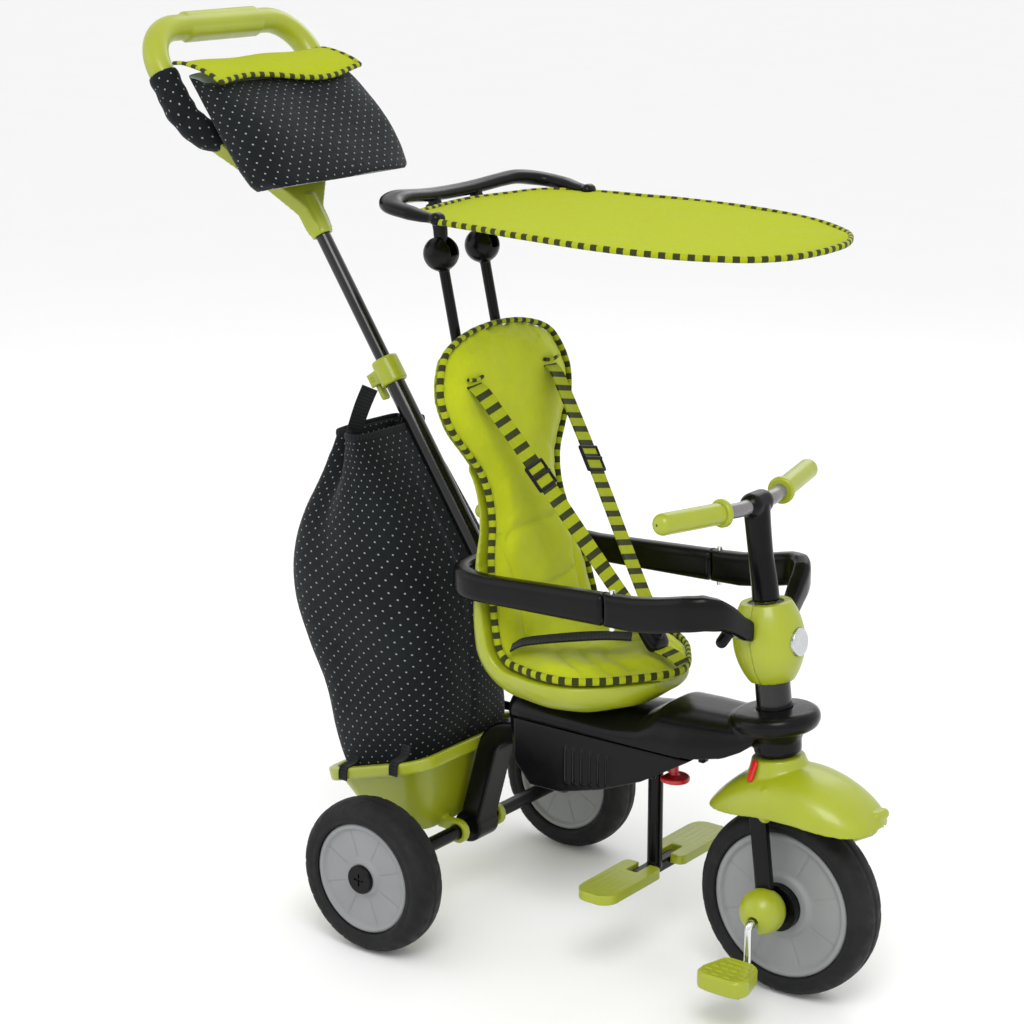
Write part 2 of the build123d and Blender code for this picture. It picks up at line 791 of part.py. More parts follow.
def crease_place(angle):
    """Frame under the bend between backrest and seat; the angle runs from RECLINE to 90."""
    centre = Vector(-297.6, 0, 363.5)
    radius = 40.0
    turn = radians(angle)
    outward = Vector(-cos(turn), 0, -sin(turn))
    origin = centre + outward * radius
    return Plane(origin=origin, x_dir=(0, 1, 0), z_dir=(-sin(turn), 0, cos(turn)))


def seat_place(x):
    """Frame under the seat pad; its y points down."""
    return Plane(origin=(x, 0, BOWL_RIM_Z), x_dir=(0, 1, 0), z_dir=(-1, 0, 0))


def tub_sections(inset):
    """Half ovals from behind the lower back, round the bend and under the seat pad."""
    back = [(215, 72, 9), (150, 90, 13), (85, 103, 23)]
    bend = [(34, 107, 34), (62, 108, 38)]
    seat = [(-296, 110, 40), (-262, 115, 40.5), (-215, 103, 38), (-182, 68, 24), (-166, 38, 9)]
    sections = [back_place(v) * half_oval(half - inset, depth - inset) for v, half, depth in back]
    sections += [crease_place(angle) * half_oval(half - inset, depth - inset) for angle, half, depth in bend]
    sections += [seat_place(x) * half_oval(half - inset, depth - inset) for x, half, depth in seat]
    return sections


def seat_tub():
    """Hollow belly, open on top under the seat pad."""
    outer = loft(tub_sections(0), ruled=True)
    hollow = loft(tub_sections(WALL)[1:-1], ruled=True)
    return outer - hollow


def seat_shell():
    """Tub round the seat pad and a panel behind the backrest, in one moulding."""
    depth = BACK_THICK + GAP
    clip_width = 110.0
    clip_height = 20.0
    clip_depth = 14.0
    panel = extrude(BACK.offset(-depth) * back_face(6), amount=-PANEL_THICK)
    shell = panel + seat_tub()
    for low_v in (190, 310):
        clip = Box(clip_width, clip_height, clip_depth)
        place = Pos(0, low_v + clip_height / 2, -clip_depth / 2)
        shell += BACK.offset(-depth - PANEL_THICK) * place * clip
    for side in (-1, 1):
        shell -= canopy_post(side)
    shell -= hoop_blank()
    return shell - pole_barrel(SLEEVE_R + GAP, 235, 420)


def post_line(z):
    """Where a canopy post's axis is at height z."""
    return BALL_X + (BALL_Z - z) * tan(radians(RECLINE))


def canopy_post(side):
    """Post behind the backrest, topped by a round tilt joint."""
    low_z = 478.0
    groove_half = 6.0
    groove_r = 13.5
    far = 40.0
    line = Vector(post_line(BALL_Z) - post_line(low_z), 0, BALL_Z - low_z)
    foot = (post_line(low_z), side * BALL_Y, low_z)
    post = Plane(origin=foot, x_dir=(0, 1, 0), z_dir=line) * barrel(POST_R, 0, line.length)
    low_y = side * BALL_Y - groove_half
    high_y = side * BALL_Y + groove_half
    groove = block((BALL_X - far, low_y, BALL_Z), (BALL_X + far, high_y, BALL_Z + far))
    groove += cross_bar(groove_r, low_y, high_y, BALL_X, BALL_Z)
    ball = Pos(BALL_X, side * BALL_Y, BALL_Z) * Sphere(BALL_R)
    pin = cross_bar(TILT_PIN_R, low_y, high_y, BALL_X, BALL_Z)
    return (post - groove) + (ball - groove) + pin


# ---- canopy ------------------------------------------------------------------------

def canopy_fabric():
    """Flat sunshade, oval in front and squarer at the rear, tapering to a rounded nose."""
    side = [(14, 60), (24, 118), (60, 134), (140, 148), (220, 158), (300, 158)]
    side += [(380, 137), (436, 98), (460, 44)]
    points = [(4, 0)] + side + [(464, 0)] + [(x, -y) for x, y in reversed(side)]
    return extrude(CANOPY * make_face(Spline(*points, periodic=True)), amount=-CANOPY_THICK)


def canopy_bar():
    """Curved bar that grips the fabric's rear edge in a slot."""
    corner = 34.0
    width = 24.0
    low = -8.0
    high = 12.0
    tip_x = 82.0
    side_y = 134.0
    rear_x = -6.0
    points = [(tip_x, -side_y), (rear_x, -side_y), (rear_x, side_y), (tip_x, side_y)]
    path = FilletPolyline(*points, radius=corner)
    bar = extrude(CANOPY.offset(low) * trace(path, width), amount=high - low)
    bar = fillet(bar.edges().filter_by(lambda e: e.length > 60), 6.0)
    length = 500.0
    inside = Pos(length / 2 + rear_x + width / 4, 0) * Rectangle(length, 400)
    slot_low = -CANOPY_THICK - GAP
    return bar - extrude(CANOPY.offset(slot_low) * inside, amount=CANOPY_THICK + 3 * GAP)


def canopy_bracket():
    """Rear bar on two stubs that sit in the posts' balls."""
    stub_half = 5.4
    stub_width = 7.0
    eye_r = 13.0
    bracket = canopy_bar()
    for side in (-1, 1):
        low_y = side * BALL_Y - stub_half
        high_y = side * BALL_Y + stub_half
        stub = cross_bar(eye_r, low_y, high_y, BALL_X, BALL_Z)
        stub += block((BALL_X - stub_width, low_y, BALL_Z), (BALL_X + stub_width, high_y, CANOPY_Z - 7))
        bracket += stub - cross_bar(TILT_PIN_R + FIT, low_y, high_y, BALL_X, BALL_Z)
    return bracket


# ---- safety bar --------------------------------------------------------------------

def hoop_blank():
    """Hoop round the back of the seat, before its hinge forks are cut."""
    corner = 46.0
    base = 350.0
    half = 150.0
    points = [(HINGE_X, -BAR_HALF_Y), (HOOP_X, -BAR_HALF_Y), (HOOP_X, BAR_HALF_Y), (HINGE_X, BAR_HALF_Y)]
    path = FilletPolyline(*points, radius=corner)
    plan = extrude(Plane.XY.offset(base) * trace(path, BAR_THICK), amount=half)
    profile = [(-400, 402), (-330, 404), (HINGE_X, 408), (HINGE_X, 444), (-330, 435), (-400, 438)]
    return plan & side_slab(profile, half)


def hinge_barrel(side, low, high, radius):
    return Pos(HINGE_X, side * BAR_HALF_Y, (low + high) / 2) * Cylinder(radius, high - low)


def safety_bar_hoop(seat):
    """Fixed rear hoop round the backrest, ending in hinge forks."""
    hoop = hoop_blank()
    hoop = fillet(hoop.edges().filter_by(lambda e: e.length > 100 and e.center().Z > 400), 4.0)
    lug = block((HOOP_X + 4, 35, 408), (-366, 53, 432))
    hoop += (lug + mirrored(lug)) - seat
    for side in (-1, 1):
        hoop += hinge_barrel(side, KNUCKLE_LOW, TONGUE_LOW, KNUCKLE_R)
        hoop += hinge_barrel(side, TONGUE_HIGH, KNUCKLE_HIGH, KNUCKLE_R)
        hoop -= hinge_barrel(side, TONGUE_LOW, TONGUE_HIGH, KNUCKLE_R + 1.0)
        hoop -= hinge_barrel(side, KNUCKLE_LOW - 9, KNUCKLE_HIGH + 2, HINGE_PIN_R)
    return hoop


def arm_hinge_pins():
    pin = hinge_barrel(1, KNUCKLE_LOW, KNUCKLE_HIGH, HINGE_PIN_R)
    return pin + mirrored(pin)


def safety_arm(side):
    """Front half of the safety bar: swings out, and its claw meets the column housing."""
    corner = 34.0
    base = 350.0
    half = 150.0
    clear_r = KNUCKLE_R + 1.0
    path = FilletPolyline((HINGE_X + 6, BAR_HALF_Y), (-52, BAR_HALF_Y), (-36, 34), radius=corner)
    plan = extrude(Plane.XY.offset(base) * trace(path, BAR_THICK), amount=half)
    top = [(-150, 445), (-110, 451), (-78, 461), (-52, 455), (-30, 432), (-12, 420)]
    low = [(-12, 398), (-30, 401), (-52, 412), (-75, 424), (-110, 420), (-150, 410)]
    rear = [(-170, 408), (-170, 443)]
    arm = plan & side_slab(low + rear + top, half)
    arm -= hinge_barrel(1, base, TONGUE_LOW + GAP, clear_r)
    arm -= hinge_barrel(1, TONGUE_HIGH - GAP, base + half, clear_r)
    arm += hinge_barrel(1, TONGUE_LOW + GAP, TONGUE_HIGH - GAP, KNUCKLE_R)
    arm -= hinge_barrel(1, KNUCKLE_LOW, KNUCKLE_HIGH, HINGE_PIN_R + FIT)
    arm += block((-62, 62, 398), (-50, 74, 418))
    if side < 0:
        arm = mirrored(arm)
    return arm - column_barrel(HOUSING_R + GAP, HOUSING_BASE_Z - 20, HOUSING_TOP_Z + 20)


# ---- harness -----------------------------------------------------------------------

def harness_straps():
    """Shoulder, waist and crotch straps, pulled straight between their slots and the buckle."""
    width = 24.0
    thick = 2.0
    straps = Part()
    for side in (-1, 1):
        straps += band((-370, side * 70, 634), (-192, side * 13, 386), width, thick)
        straps += band((-304, side * 88, 356), (-196, side * 19, 368), width, thick)
    straps += band((-174, 0, 354), (-148, 0, 345), width, thick)
    return straps


def adjuster(side):
    """Open frame that a shoulder strap is threaded through."""
    share = 0.38
    start = Vector(-370, side * 70, 634)
    line = Vector(-192, side * 13, 386) - start
    across = line.cross(Vector(0, 0, 1).cross(line)).normalized()
    place = Plane(origin=start + line * share, x_dir=line.cross(across), z_dir=line)
    frame = Box(32, 5, 30) - Box(25, 8, 22) - Box(24.4, 2.6, 40)
    return place * frame


def harness_hardware():
    """Buckle where the straps meet, and one adjuster frame on each shoulder strap."""
    buckle = Box(13, 34, 40)
    buckle = Pos(-184, 0, 370) * Rot(0, -35, 0) * fillet(buckle.edges(), 4.0)
    return buckle + adjuster(1) + adjuster(-1)


# ---- push pole ---------------------------------------------------------------------

def pole_lower():
    low = 237.0
    return pole_barrel(SLEEVE_R, low, COLLAR_Z) - pole_barrel(SLEEVE_BORE, low, COLLAR_Z)


def pole_upper():
    low = 452.0
    high = 800.0
    wall = 1.5
    return pole_barrel(POLE_R, low, high) - pole_barrel(POLE_R - wall, low, high)


def collar_pivot():
    return POLE * Pos(-COLLAR_R - 5, 0, up_pole(COLLAR_Z)) * Rot(90, 0, 0)


def pole_collar():
    """Clamp on the sleeve's top, with ears at the rear for its lever."""
    length = 32.0
    middle = up_pole(COLLAR_Z)
    low = middle - length / 2
    body = barrel(COLLAR_R, low, low + length)
    body = fillet(body.edges(), 3.0)
    for side in (-1, 1):
        low_y, high_y = sorted((side * 5.0, side * 10.0))
        body += block((-COLLAR_R - 11, low_y, middle - 8), (-10, high_y, middle + 8))
    body -= barrel(SLEEVE_R, low - 1, middle)
    body -= barrel(POLE_R + FIT, middle - 1, low + length + 1)
    body -= Pos(-COLLAR_R - 5, 0, middle) * Rot(90, 0, 0) * Cylinder(2.5 + FIT, 40)
    return POLE * body


def collar_lever():
    """Cam lever behind the collar, pinned between its ears."""
    half = 4.6
    hub = Cylinder(4.5, 2 * half) + Cylinder(2.5, 20)
    arm = block((-4.5, -26, -half), (1.5, 0, half))
    arm = fillet(arm.edges().filter_by(Axis.Z), 2.5)
    return collar_pivot() * (hub + arm)


def push_handle():
    """Closed loop with a broad neck that narrows to the pole."""
    low = 122.0
    high = 268.0
    corner = 52.0
    web_half = 9.0
    socket_r = 13.0
    points = [(0, high), (HANDLE_HALF, high), (HANDLE_HALF, low)]
    points += [(-HANDLE_HALF, low), (-HANDLE_HALF, high), (-1, high)]
    path = HANDLE * FilletPolyline(*points, radius=corner)
    loop = sweep(Plane(origin=path @ 0, z_dir=path % 0) * Circle(HANDLE_R), path=path)
    web = [(13, -8), (15, 20), (44, 56), (100, 112), (100, 128)]
    outline = web + [(-y, v) for y, v in reversed(web)]
    neck = extrude(HANDLE * make_face(Polyline(*outline, close=True)), amount=web_half, both=True)
    neck += pole_barrel(socket_r, 764, 806)
    pad = HANDLE * Pos(0, high) * Rectangle(120, 2 * HANDLE_R + 4)
    pad = extrude(pad, amount=HANDLE_R - 2, both=True)
    pad = fillet(pad.edges().filter_by(lambda e: e.length > 100), 9.0)
    return loop + neck + pad - pole_barrel(POLE_R, 750, 800)


def handle_pouch():
    """Wedge-shaped fabric pouch hung in front of the handle's lower half."""
    half = 130.0
    corner = 10.0
    rear = HANDLE_R + 1.0
    outline = [(rear, 206), (rear + 52, 168), (rear + 72, 18), (rear, 52)]
    pouch = extrude(HANDLE_SIDE * make_face(Polyline(*outline, close=True)), amount=half, both=True)
    return fillet(pouch.edges(), corner)


# ---- footrest ----------------------------------------------------------------------

def footrest_post():
    """Folding post with its hinge pin on top and the crossbar at its foot."""
    bar_half_y = 38.0
    bar_half = 7.0
    post = Pos(POST_X, 0, (FOOTBAR_Z + FOOT_PIVOT_Z) / 2) * Cylinder(FOOT_POST_R, FOOT_PIVOT_Z - FOOTBAR_Z)
    knuckle = cross_bar(9.0, -FOOT_POST_R, FOOT_POST_R, POST_X, FOOT_PIVOT_Z)
    pin = cross_bar(FOOT_PIN_R, -FOOT_PIN_HALF, FOOT_PIN_HALF, POST_X, FOOT_PIVOT_Z)
    bar = block((POST_X - bar_half, -bar_half_y, FOOTBAR_Z - bar_half),
                (POST_X + bar_half, bar_half_y, FOOTBAR_Z + bar_half))
    bar = fillet(bar.edges().filter_by(Axis.Y), 3.0)
    shape = post + knuckle + pin + bar
    low_x = POST_X - 20
    for side in (-1, 1):
        shape -= lengthwise_bar(PAD_PIN_R + FIT, low_x, POST_X + 20, side * PAD_BAR_HALF_Y, FOOTBAR_Z)
    return shape


def foot_pad(side):
    """Ribbed foot platform, notched for the crossbar and pinned across it."""
    top = FOOTBAR_Z + 11.0
    thick = 11.0
    notch_half = 7.0 + GAP
    notch_y = 46.0
    outline = [(POST_X - PAD_HALF_X, PAD_INNER_Y), (POST_X + PAD_HALF_X, PAD_INNER_Y),
               (POST_X + PAD_HALF_X, PAD_OUTER_Y), (POST_X - PAD_HALF_X, PAD_OUTER_Y)]
    pad = plan_slab(outline, top - thick, top)
    uprights = pad.edges().filter_by(Axis.Z)
    pad = fillet(uprights.filter_by(lambda e: e.center().Y > PAD_INNER_Y + 1), 18.0)
    uprights = pad.edges().filter_by(Axis.Z)
    pad = fillet(uprights.filter_by(lambda e: e.center().Y < PAD_INNER_Y + 1), 8.0)
    pad -= block((POST_X - notch_half, 0, top - thick - 1), (POST_X + notch_half, notch_y, top + 1))
    ear_r = 11.0
    ear_outer = 17.0
    for end in (-1, 1):
        low_x, high_x = sorted((POST_X + end * notch_half, POST_X + end * ear_outer))
        pad += lengthwise_bar(ear_r, low_x, high_x, PAD_BAR_HALF_Y, FOOTBAR_Z)
    pad += lengthwise_bar(PAD_PIN_R, POST_X - ear_outer, POST_X + ear_outer, PAD_BAR_HALF_Y, FOOTBAR_Z)
    rib_depth = 1.2
    for index in range(5):
        x = POST_X - 16 + 8 * index
        pad -= block((x - 0.8, 54, top - rib_depth), (x + 0.8, 112, top + 1))
    return pad if side > 0 else mirrored(pad)


def footrest_lever():
    """Round-fronted release tab under the body, on a stem that slides in the pan."""
    stem = block((-159, -7, 206), (-146, 7, 246))
    tab = Pos(-152, 0, 203) * Cylinder(14, 6)
    tab &= block((-163, -20, 190), (-130, 20, 215))
    head = block((-163.5, -11, 244), (-141.5, 11, 248))
    return stem + tab + head


# ---- write the parts ---------------------------------------------------------------

def write(name, shape):
    export_step(Pos(FRONT_X, 0, 0) * shape, f"parts/{name}.step")


def main():
    os.makedirs("parts", exist_ok=True)
    sides = {"left": 1, "right": -1}

    shell = body_upper_shell()
    pan = body_lower_pan()
    write("body_upper_shell", shell)
    write("body_lower_pan", pan)
    write("head_tube", head_tube())
    write("steering_bushes", steering_bushes())
    housing_front = column_housing(True) - badge_pocket()
    housing_rear = column_housing(False)
    write("column_housing_front", housing_front)
    write("column_housing_rear", housing_rear)
    write("housing_badge", housing_badge())
    write("rear_strut", strut() - shell - pan)
    write("rear_axle", rear_axle())
    write("axle_sleeves", axle_sleeves())
    write("axle_nuts", axle_nuts())
    seat = seat_shell()
    write("seat_shell", seat)
    write("seat_cushion", seat_cushion())
    write("back_cushion", back_cushion())
    hardware = harness_hardware()
    write("harness_straps", harness_straps() - hardware)
    write("harness_hardware", hardware)
    write("safety_bar_hoop", safety_bar_hoop(seat))
    write("arm_hinge_pins", arm_hinge_pins())
    write("storage_bucket", storage_bucket())
    write("storage_bag", storage_bag())
    write("bag_webbing", bag_webbing())
    write("pole_lower", pole_lower())
    write("pole_collar", pole_collar())
    write("collar_lever", collar_lever())
    write("pole_upper", pole_upper())
    handle = push_handle()
    write("push_handle", handle)
    write("handle_pouch", handle_pouch())
    write("canopy_fabric", canopy_fabric())
    write("canopy_bracket", canopy_bracket())

    fork_shape = fork()
    write("fork", fork_shape)
    write("steering_shaft", steering_shaft())
    write("front_fender", front_fender() - lever_pocket())
    write("steering_lock_lever", steering_lock_lever())
    write("handlebar_stem", handlebar_stem())
    write("handlebar_tube", handlebar_tube())
    write("front_tyre", front_tyre())
    write("front_rim", front_rim())
    write("front_hub", front_hub())
    write("crank", crank())
    write("footrest_post", footrest_post())
    write("footrest_lever", footrest_lever())

    for name, side in sides.items():
        write(f"canopy_post_{name}", canopy_post(side))
        write(f"fork_cover_{name}", fork_cover(side, fork_shape))
        write(f"grip_{name}", grip(side))
        write(f"pedal_{name}", pedal(side))
        write(f"rear_tyre_{name}", rear_tyre(side))
        write(f"rear_rim_{name}", rear_rim(side))
        write(f"hub_cap_{name}", hub_cap(side))
        write(f"safety_arm_{name}", safety_arm(side))
        write(f"foot_pad_{name}", foot_pad(side))


main()
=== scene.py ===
import json
import math

import bmesh
import bpy
import numpy as np
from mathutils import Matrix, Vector

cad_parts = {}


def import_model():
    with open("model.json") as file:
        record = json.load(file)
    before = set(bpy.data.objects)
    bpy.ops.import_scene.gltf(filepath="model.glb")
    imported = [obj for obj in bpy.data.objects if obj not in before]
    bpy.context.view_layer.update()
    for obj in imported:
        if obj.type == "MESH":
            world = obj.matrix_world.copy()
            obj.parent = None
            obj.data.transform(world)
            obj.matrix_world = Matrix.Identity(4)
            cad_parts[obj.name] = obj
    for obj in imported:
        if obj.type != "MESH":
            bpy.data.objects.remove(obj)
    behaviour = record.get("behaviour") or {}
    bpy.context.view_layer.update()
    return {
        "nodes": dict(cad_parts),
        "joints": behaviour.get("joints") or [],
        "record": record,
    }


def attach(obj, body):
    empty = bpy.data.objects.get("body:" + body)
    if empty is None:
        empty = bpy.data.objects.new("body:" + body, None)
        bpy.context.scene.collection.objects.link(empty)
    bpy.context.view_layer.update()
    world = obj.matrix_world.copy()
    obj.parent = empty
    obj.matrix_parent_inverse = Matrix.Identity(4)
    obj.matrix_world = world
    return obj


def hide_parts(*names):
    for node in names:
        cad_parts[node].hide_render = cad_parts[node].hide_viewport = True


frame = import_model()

# A children's tricycle with a parent's handle. Units are metres, +X is forward, +Y is the rider's left.
# The front axle and the steering column are read from the CAD frame's joints.
JOINTS = {j["name"]: j for j in frame["joints"]}
AXLE = Vector(JOINTS["steer"]["pos_m"])
COLUMN = Vector(JOINTS["steer"]["axis"]).normalized()
MM = 0.001
LIME, BLACK = "lime_plastic", "black_plastic"
SIDES = ((1, "left"), (-1, "right"))


def world(x, y, z):
    """Point from distances in millimetres ahead of the front axle, to the left, and above the ground."""
    return Vector((AXLE.x + x * MM, y * MM, z * MM))


# ---- node trees --------------------------------------------------------------------

def feed(tree, socket, value):
    """Links a socket to an output, or sets it to a plain value."""
    if isinstance(value, bpy.types.NodeSocket):
        tree.links.new(value, socket)
    else:
        socket.default_value = value


def add(tree, kind, **inputs):
    """Adds a node and feeds the named inputs."""
    made = tree.nodes.new(kind)
    for key, value in inputs.items():
        feed(tree, made.inputs[key.replace("_", " ")], value)
    return made


def math_node(tree, operation, *values):
    made = tree.nodes.new("ShaderNodeMath")
    made.operation = operation
    for socket, value in zip(made.inputs, values):
        feed(tree, socket, value)
    return made.outputs[0]


def mix_color(tree, share, first, second):
    made = tree.nodes.new("ShaderNodeMix")
    made.data_type = "RGBA"
    for index, value in ((0, share), (6, first), (7, second)):
        feed(tree, made.inputs[index], value)
    return made.outputs[2]


def noise(tree, place, scale, detail=3.0, rough=0.5):
    made = add(tree, "ShaderNodeTexNoise", Vector=place, Scale=scale, Detail=detail, Roughness=rough)
    return made.outputs["Fac"]


def ranged(tree, value, low, high, start=0.3, end=0.7):
    made = add(tree, "ShaderNodeMapRange", Value=value)
    for name, number in (("From Min", start), ("From Max", end), ("To Min", low), ("To Max", high)):
        made.inputs[name].default_value = number
    return made.outputs[0]


def rgba(color, gain=1.0):
    return (color[0] * gain, color[1] * gain, color[2] * gain, 1.0)


def new_material(name):
    made = bpy.data.materials.new(name)
    made.use_nodes = True
    tree = made.node_tree
    shader = tree.nodes["Principled BSDF"]
    place = tree.nodes.new("ShaderNodeTexCoord").outputs["Object"]
    return made, tree, shader, place


def link_all(tree, shader, **sockets):
    for name, socket in sockets.items():
        tree.links.new(socket, shader.inputs[name.replace("_", " ")])


def bump(tree, height, distance):
    return add(tree, "ShaderNodeBump", Height=height, Distance=distance, Strength=1.0).outputs[0]


def moulded_plastic(name, color, rough, coat=0.0, grain=0.00006, scuff=0.08, tint=0.07, shine=0.5):
    """Moulded plastic or painted tube: faint flow mottling, a fine grain and rubbed patches."""
    made, tree, shader, place = new_material(name)
    mottle = noise(tree, place, 14.0, 4.0)
    shade = ranged(tree, mottle, 0.0, 1.0)
    link_all(tree, shader, Base_Color=mix_color(tree, shade, rgba(color, 1 - tint), rgba(color, 1 + tint)))
    rubbed = noise(tree, place, 55.0, 8.0, 0.65)
    link_all(tree, shader, Roughness=ranged(tree, rubbed, rough - scuff / 2, rough + scuff))
    fine = noise(tree, place, 2400.0, 2.0)
    wavy = noise(tree, place, 38.0, 2.0)
    height = math_node(tree, "ADD", fine, math_node(tree, "MULTIPLY", wavy, 2.5))
    link_all(tree, shader, Normal=bump(tree, height, grain))
    shader.inputs["Coat Weight"].default_value = coat
    shader.inputs["Coat Roughness"].default_value = 0.12
    shader.inputs["Specular IOR Level"].default_value = shine
    return made


def tyre_rubber(name):
    """Foamed rubber tyre: matte, finely pored, greyed with dust in patches."""
    made, tree, shader, place = new_material(name)
    dust = ranged(tree, noise(tree, place, 26.0, 6.0, 0.6), 0.0, 0.55, 0.45, 0.8)
    dark = (0.009, 0.009, 0.01)
    dusty = (0.021, 0.02, 0.019)
    link_all(tree, shader, Base_Color=mix_color(tree, dust, rgba(dark), rgba(dusty)))
    link_all(tree, shader, Roughness=ranged(tree, noise(tree, place, 80.0, 5.0), 0.5, 0.72))
    pores = noise(tree, place, 1500.0, 3.0)
    link_all(tree, shader, Normal=bump(tree, pores, 0.00015))
    shader.inputs["Specular IOR Level"].default_value = 0.2
    return made


def metal(name, color, rough):
    """Plated metal: smooth, with fine polishing marks and small dull spots."""
    made, tree, shader, place = new_material(name)
    spots = ranged(tree, noise(tree, place, 90.0, 6.0, 0.6), 0.0, 1.0)
    link_all(tree, shader, Base_Color=mix_color(tree, spots, rgba(color, 0.92), rgba(color, 1.05)))
    link_all(tree, shader, Roughness=ranged(tree, noise(tree, place, 140.0, 8.0, 0.7), rough, rough + 0.12))
    link_all(tree, shader, Normal=bump(tree, noise(tree, place, 700.0, 2.0), 0.00002))
    shader.inputs["Metallic"].default_value = 1.0
    return made


def uv_parts(tree):
    """U and V of the piece's own map, which is in metres along and across it."""
    uv = tree.nodes.new("ShaderNodeUVMap")
    uv.uv_map = "cloth"
    split = add(tree, "ShaderNodeSeparateXYZ", Vector=uv.outputs[0])
    return split.outputs[0], split.outputs[1]


def threads(tree, u, v, pitch):
    """Height of a plain weave: warp and weft rise and sink in turn."""
    along = math_node(tree, "SINE", math_node(tree, "MULTIPLY", u, 2 * math.pi / pitch))
    across = math_node(tree, "SINE", math_node(tree, "MULTIPLY", v, 2 * math.pi / pitch))
    return math_node(tree, "MULTIPLY", along, across)


def cell_offset(tree, value, pitch, offset):
    """Distance from the middle of a cell, as a share of the pitch."""
    steps = math_node(tree, "ADD", math_node(tree, "DIVIDE", value, pitch), offset)
    return math_node(tree, "SUBTRACT", math_node(tree, "FRACT", steps), 0.5)


def lattice_dots(tree, u, v, pitch, radius):
    """Round dots on a staggered grid, 1 inside a dot."""
    found = None
    for offset in (0.0, 0.5):
        du = cell_offset(tree, u, pitch, offset)
        dv = cell_offset(tree, v, pitch, offset)
        square = math_node(tree, "ADD", math_node(tree, "POWER", du, 2.0), math_node(tree, "POWER", dv, 2.0))
        inside = math_node(tree, "LESS_THAN", square, (radius / pitch) ** 2)
        found = inside if found is None else math_node(tree, "MAXIMUM", found, inside)
    return found


def cloth_shader(tree, shader, place, color, height, distance, rough=0.8, sheen=0.25):
    """Common part of every fabric: uneven dye, soft sheen and the given weave height."""
    crease = noise(tree, place, 45.0, 5.0, 0.6)
    weave = math_node(tree, "MULTIPLY", height, 0.35)
    both = math_node(tree, "ADD", weave, math_node(tree, "MULTIPLY", crease, 4.0))
    link_all(tree, shader, Base_Color=color, Normal=bump(tree, both, distance))
    link_all(tree, shader, Roughness=ranged(tree, noise(tree, place, 120.0, 4.0), rough - 0.08, rough + 0.08))
    shader.inputs["Sheen Weight"].default_value = sheen
    shader.inputs["Sheen Roughness"].default_value = 0.45
    shader.inputs["Specular IOR Level"].default_value = sheen


def plain_fabric(name, color, pitch=0.0011):
    """Polyester of the sunshade and the pouch's flap: tight plain weave with slight slubs."""
    made, tree, shader, place = new_material(name)
    u, v = uv_parts(tree)
    slub = noise(tree, place, 300.0, 4.0, 0.7)
    shade = mix_color(tree, ranged(tree, slub, 0.0, 1.0), rgba(color, 0.93), rgba(color, 1.05))
    cloth_shader(tree, shader, place, shade, threads(tree, u, v, pitch), 0.00018, 0.8, 0.05)
    return made


def pad_fabric(name, color):
    """Brushed cloth of the seat pad: soft nap, which needs no map."""
    made, tree, shader, place = new_material(name)
    nap = noise(tree, place, 1100.0, 3.0, 0.6)
    blotch = noise(tree, place, 22.0, 5.0, 0.6)
    shade = mix_color(tree, ranged(tree, blotch, 0.0, 1.0), rgba(color, 0.9), rgba(color, 1.06))
    shade = mix_color(tree, ranged(tree, nap, 0.0, 0.35), shade, rgba(color, 0.8))
    cloth_shader(tree, shader, place, shade, nap, 0.0003, 0.85)
    return made


def dotted_fabric(name, base, dot, pitch=0.0145, radius=0.001):
    """Near-black polyester with small pale dots on a staggered grid."""
    made, tree, shader, place = new_material(name)
    u, v = uv_parts(tree)
    spots = lattice_dots(tree, u, v, pitch, radius)
    faded = noise(tree, place, 12.0, 5.0)
    cloth = mix_color(tree, ranged(tree, faded, 0.0, 1.0), rgba(base, 0.75), rgba(base, 1.35))
    color = mix_color(tree, spots, cloth, rgba(dot))
    cloth_shader(tree, shader, place, color, threads(tree, u, v, 0.0012), 0.00022, 0.7, 0.08)
    return made


def striped_fabric(name, first, second, period, share):
    """Webbing or binding with bars of two colours across it."""
    made, tree, shader, place = new_material(name)
    u, v = uv_parts(tree)
    bars = math_node(tree, "LESS_THAN", math_node(tree, "FRACT", math_node(tree, "DIVIDE", v, period)), share)
    fuzz = noise(tree, place, 700.0, 3.0)
    color = mix_color(tree, bars, rgba(first), rgba(second))
    color = mix_color(tree, ranged(tree, fuzz, 0.0, 0.25), color, rgba(second, 1.5))
    cloth_shader(tree, shader, place, color, threads(tree, u, v, 0.0014), 0.0003, 0.75, 0.1)
    return made


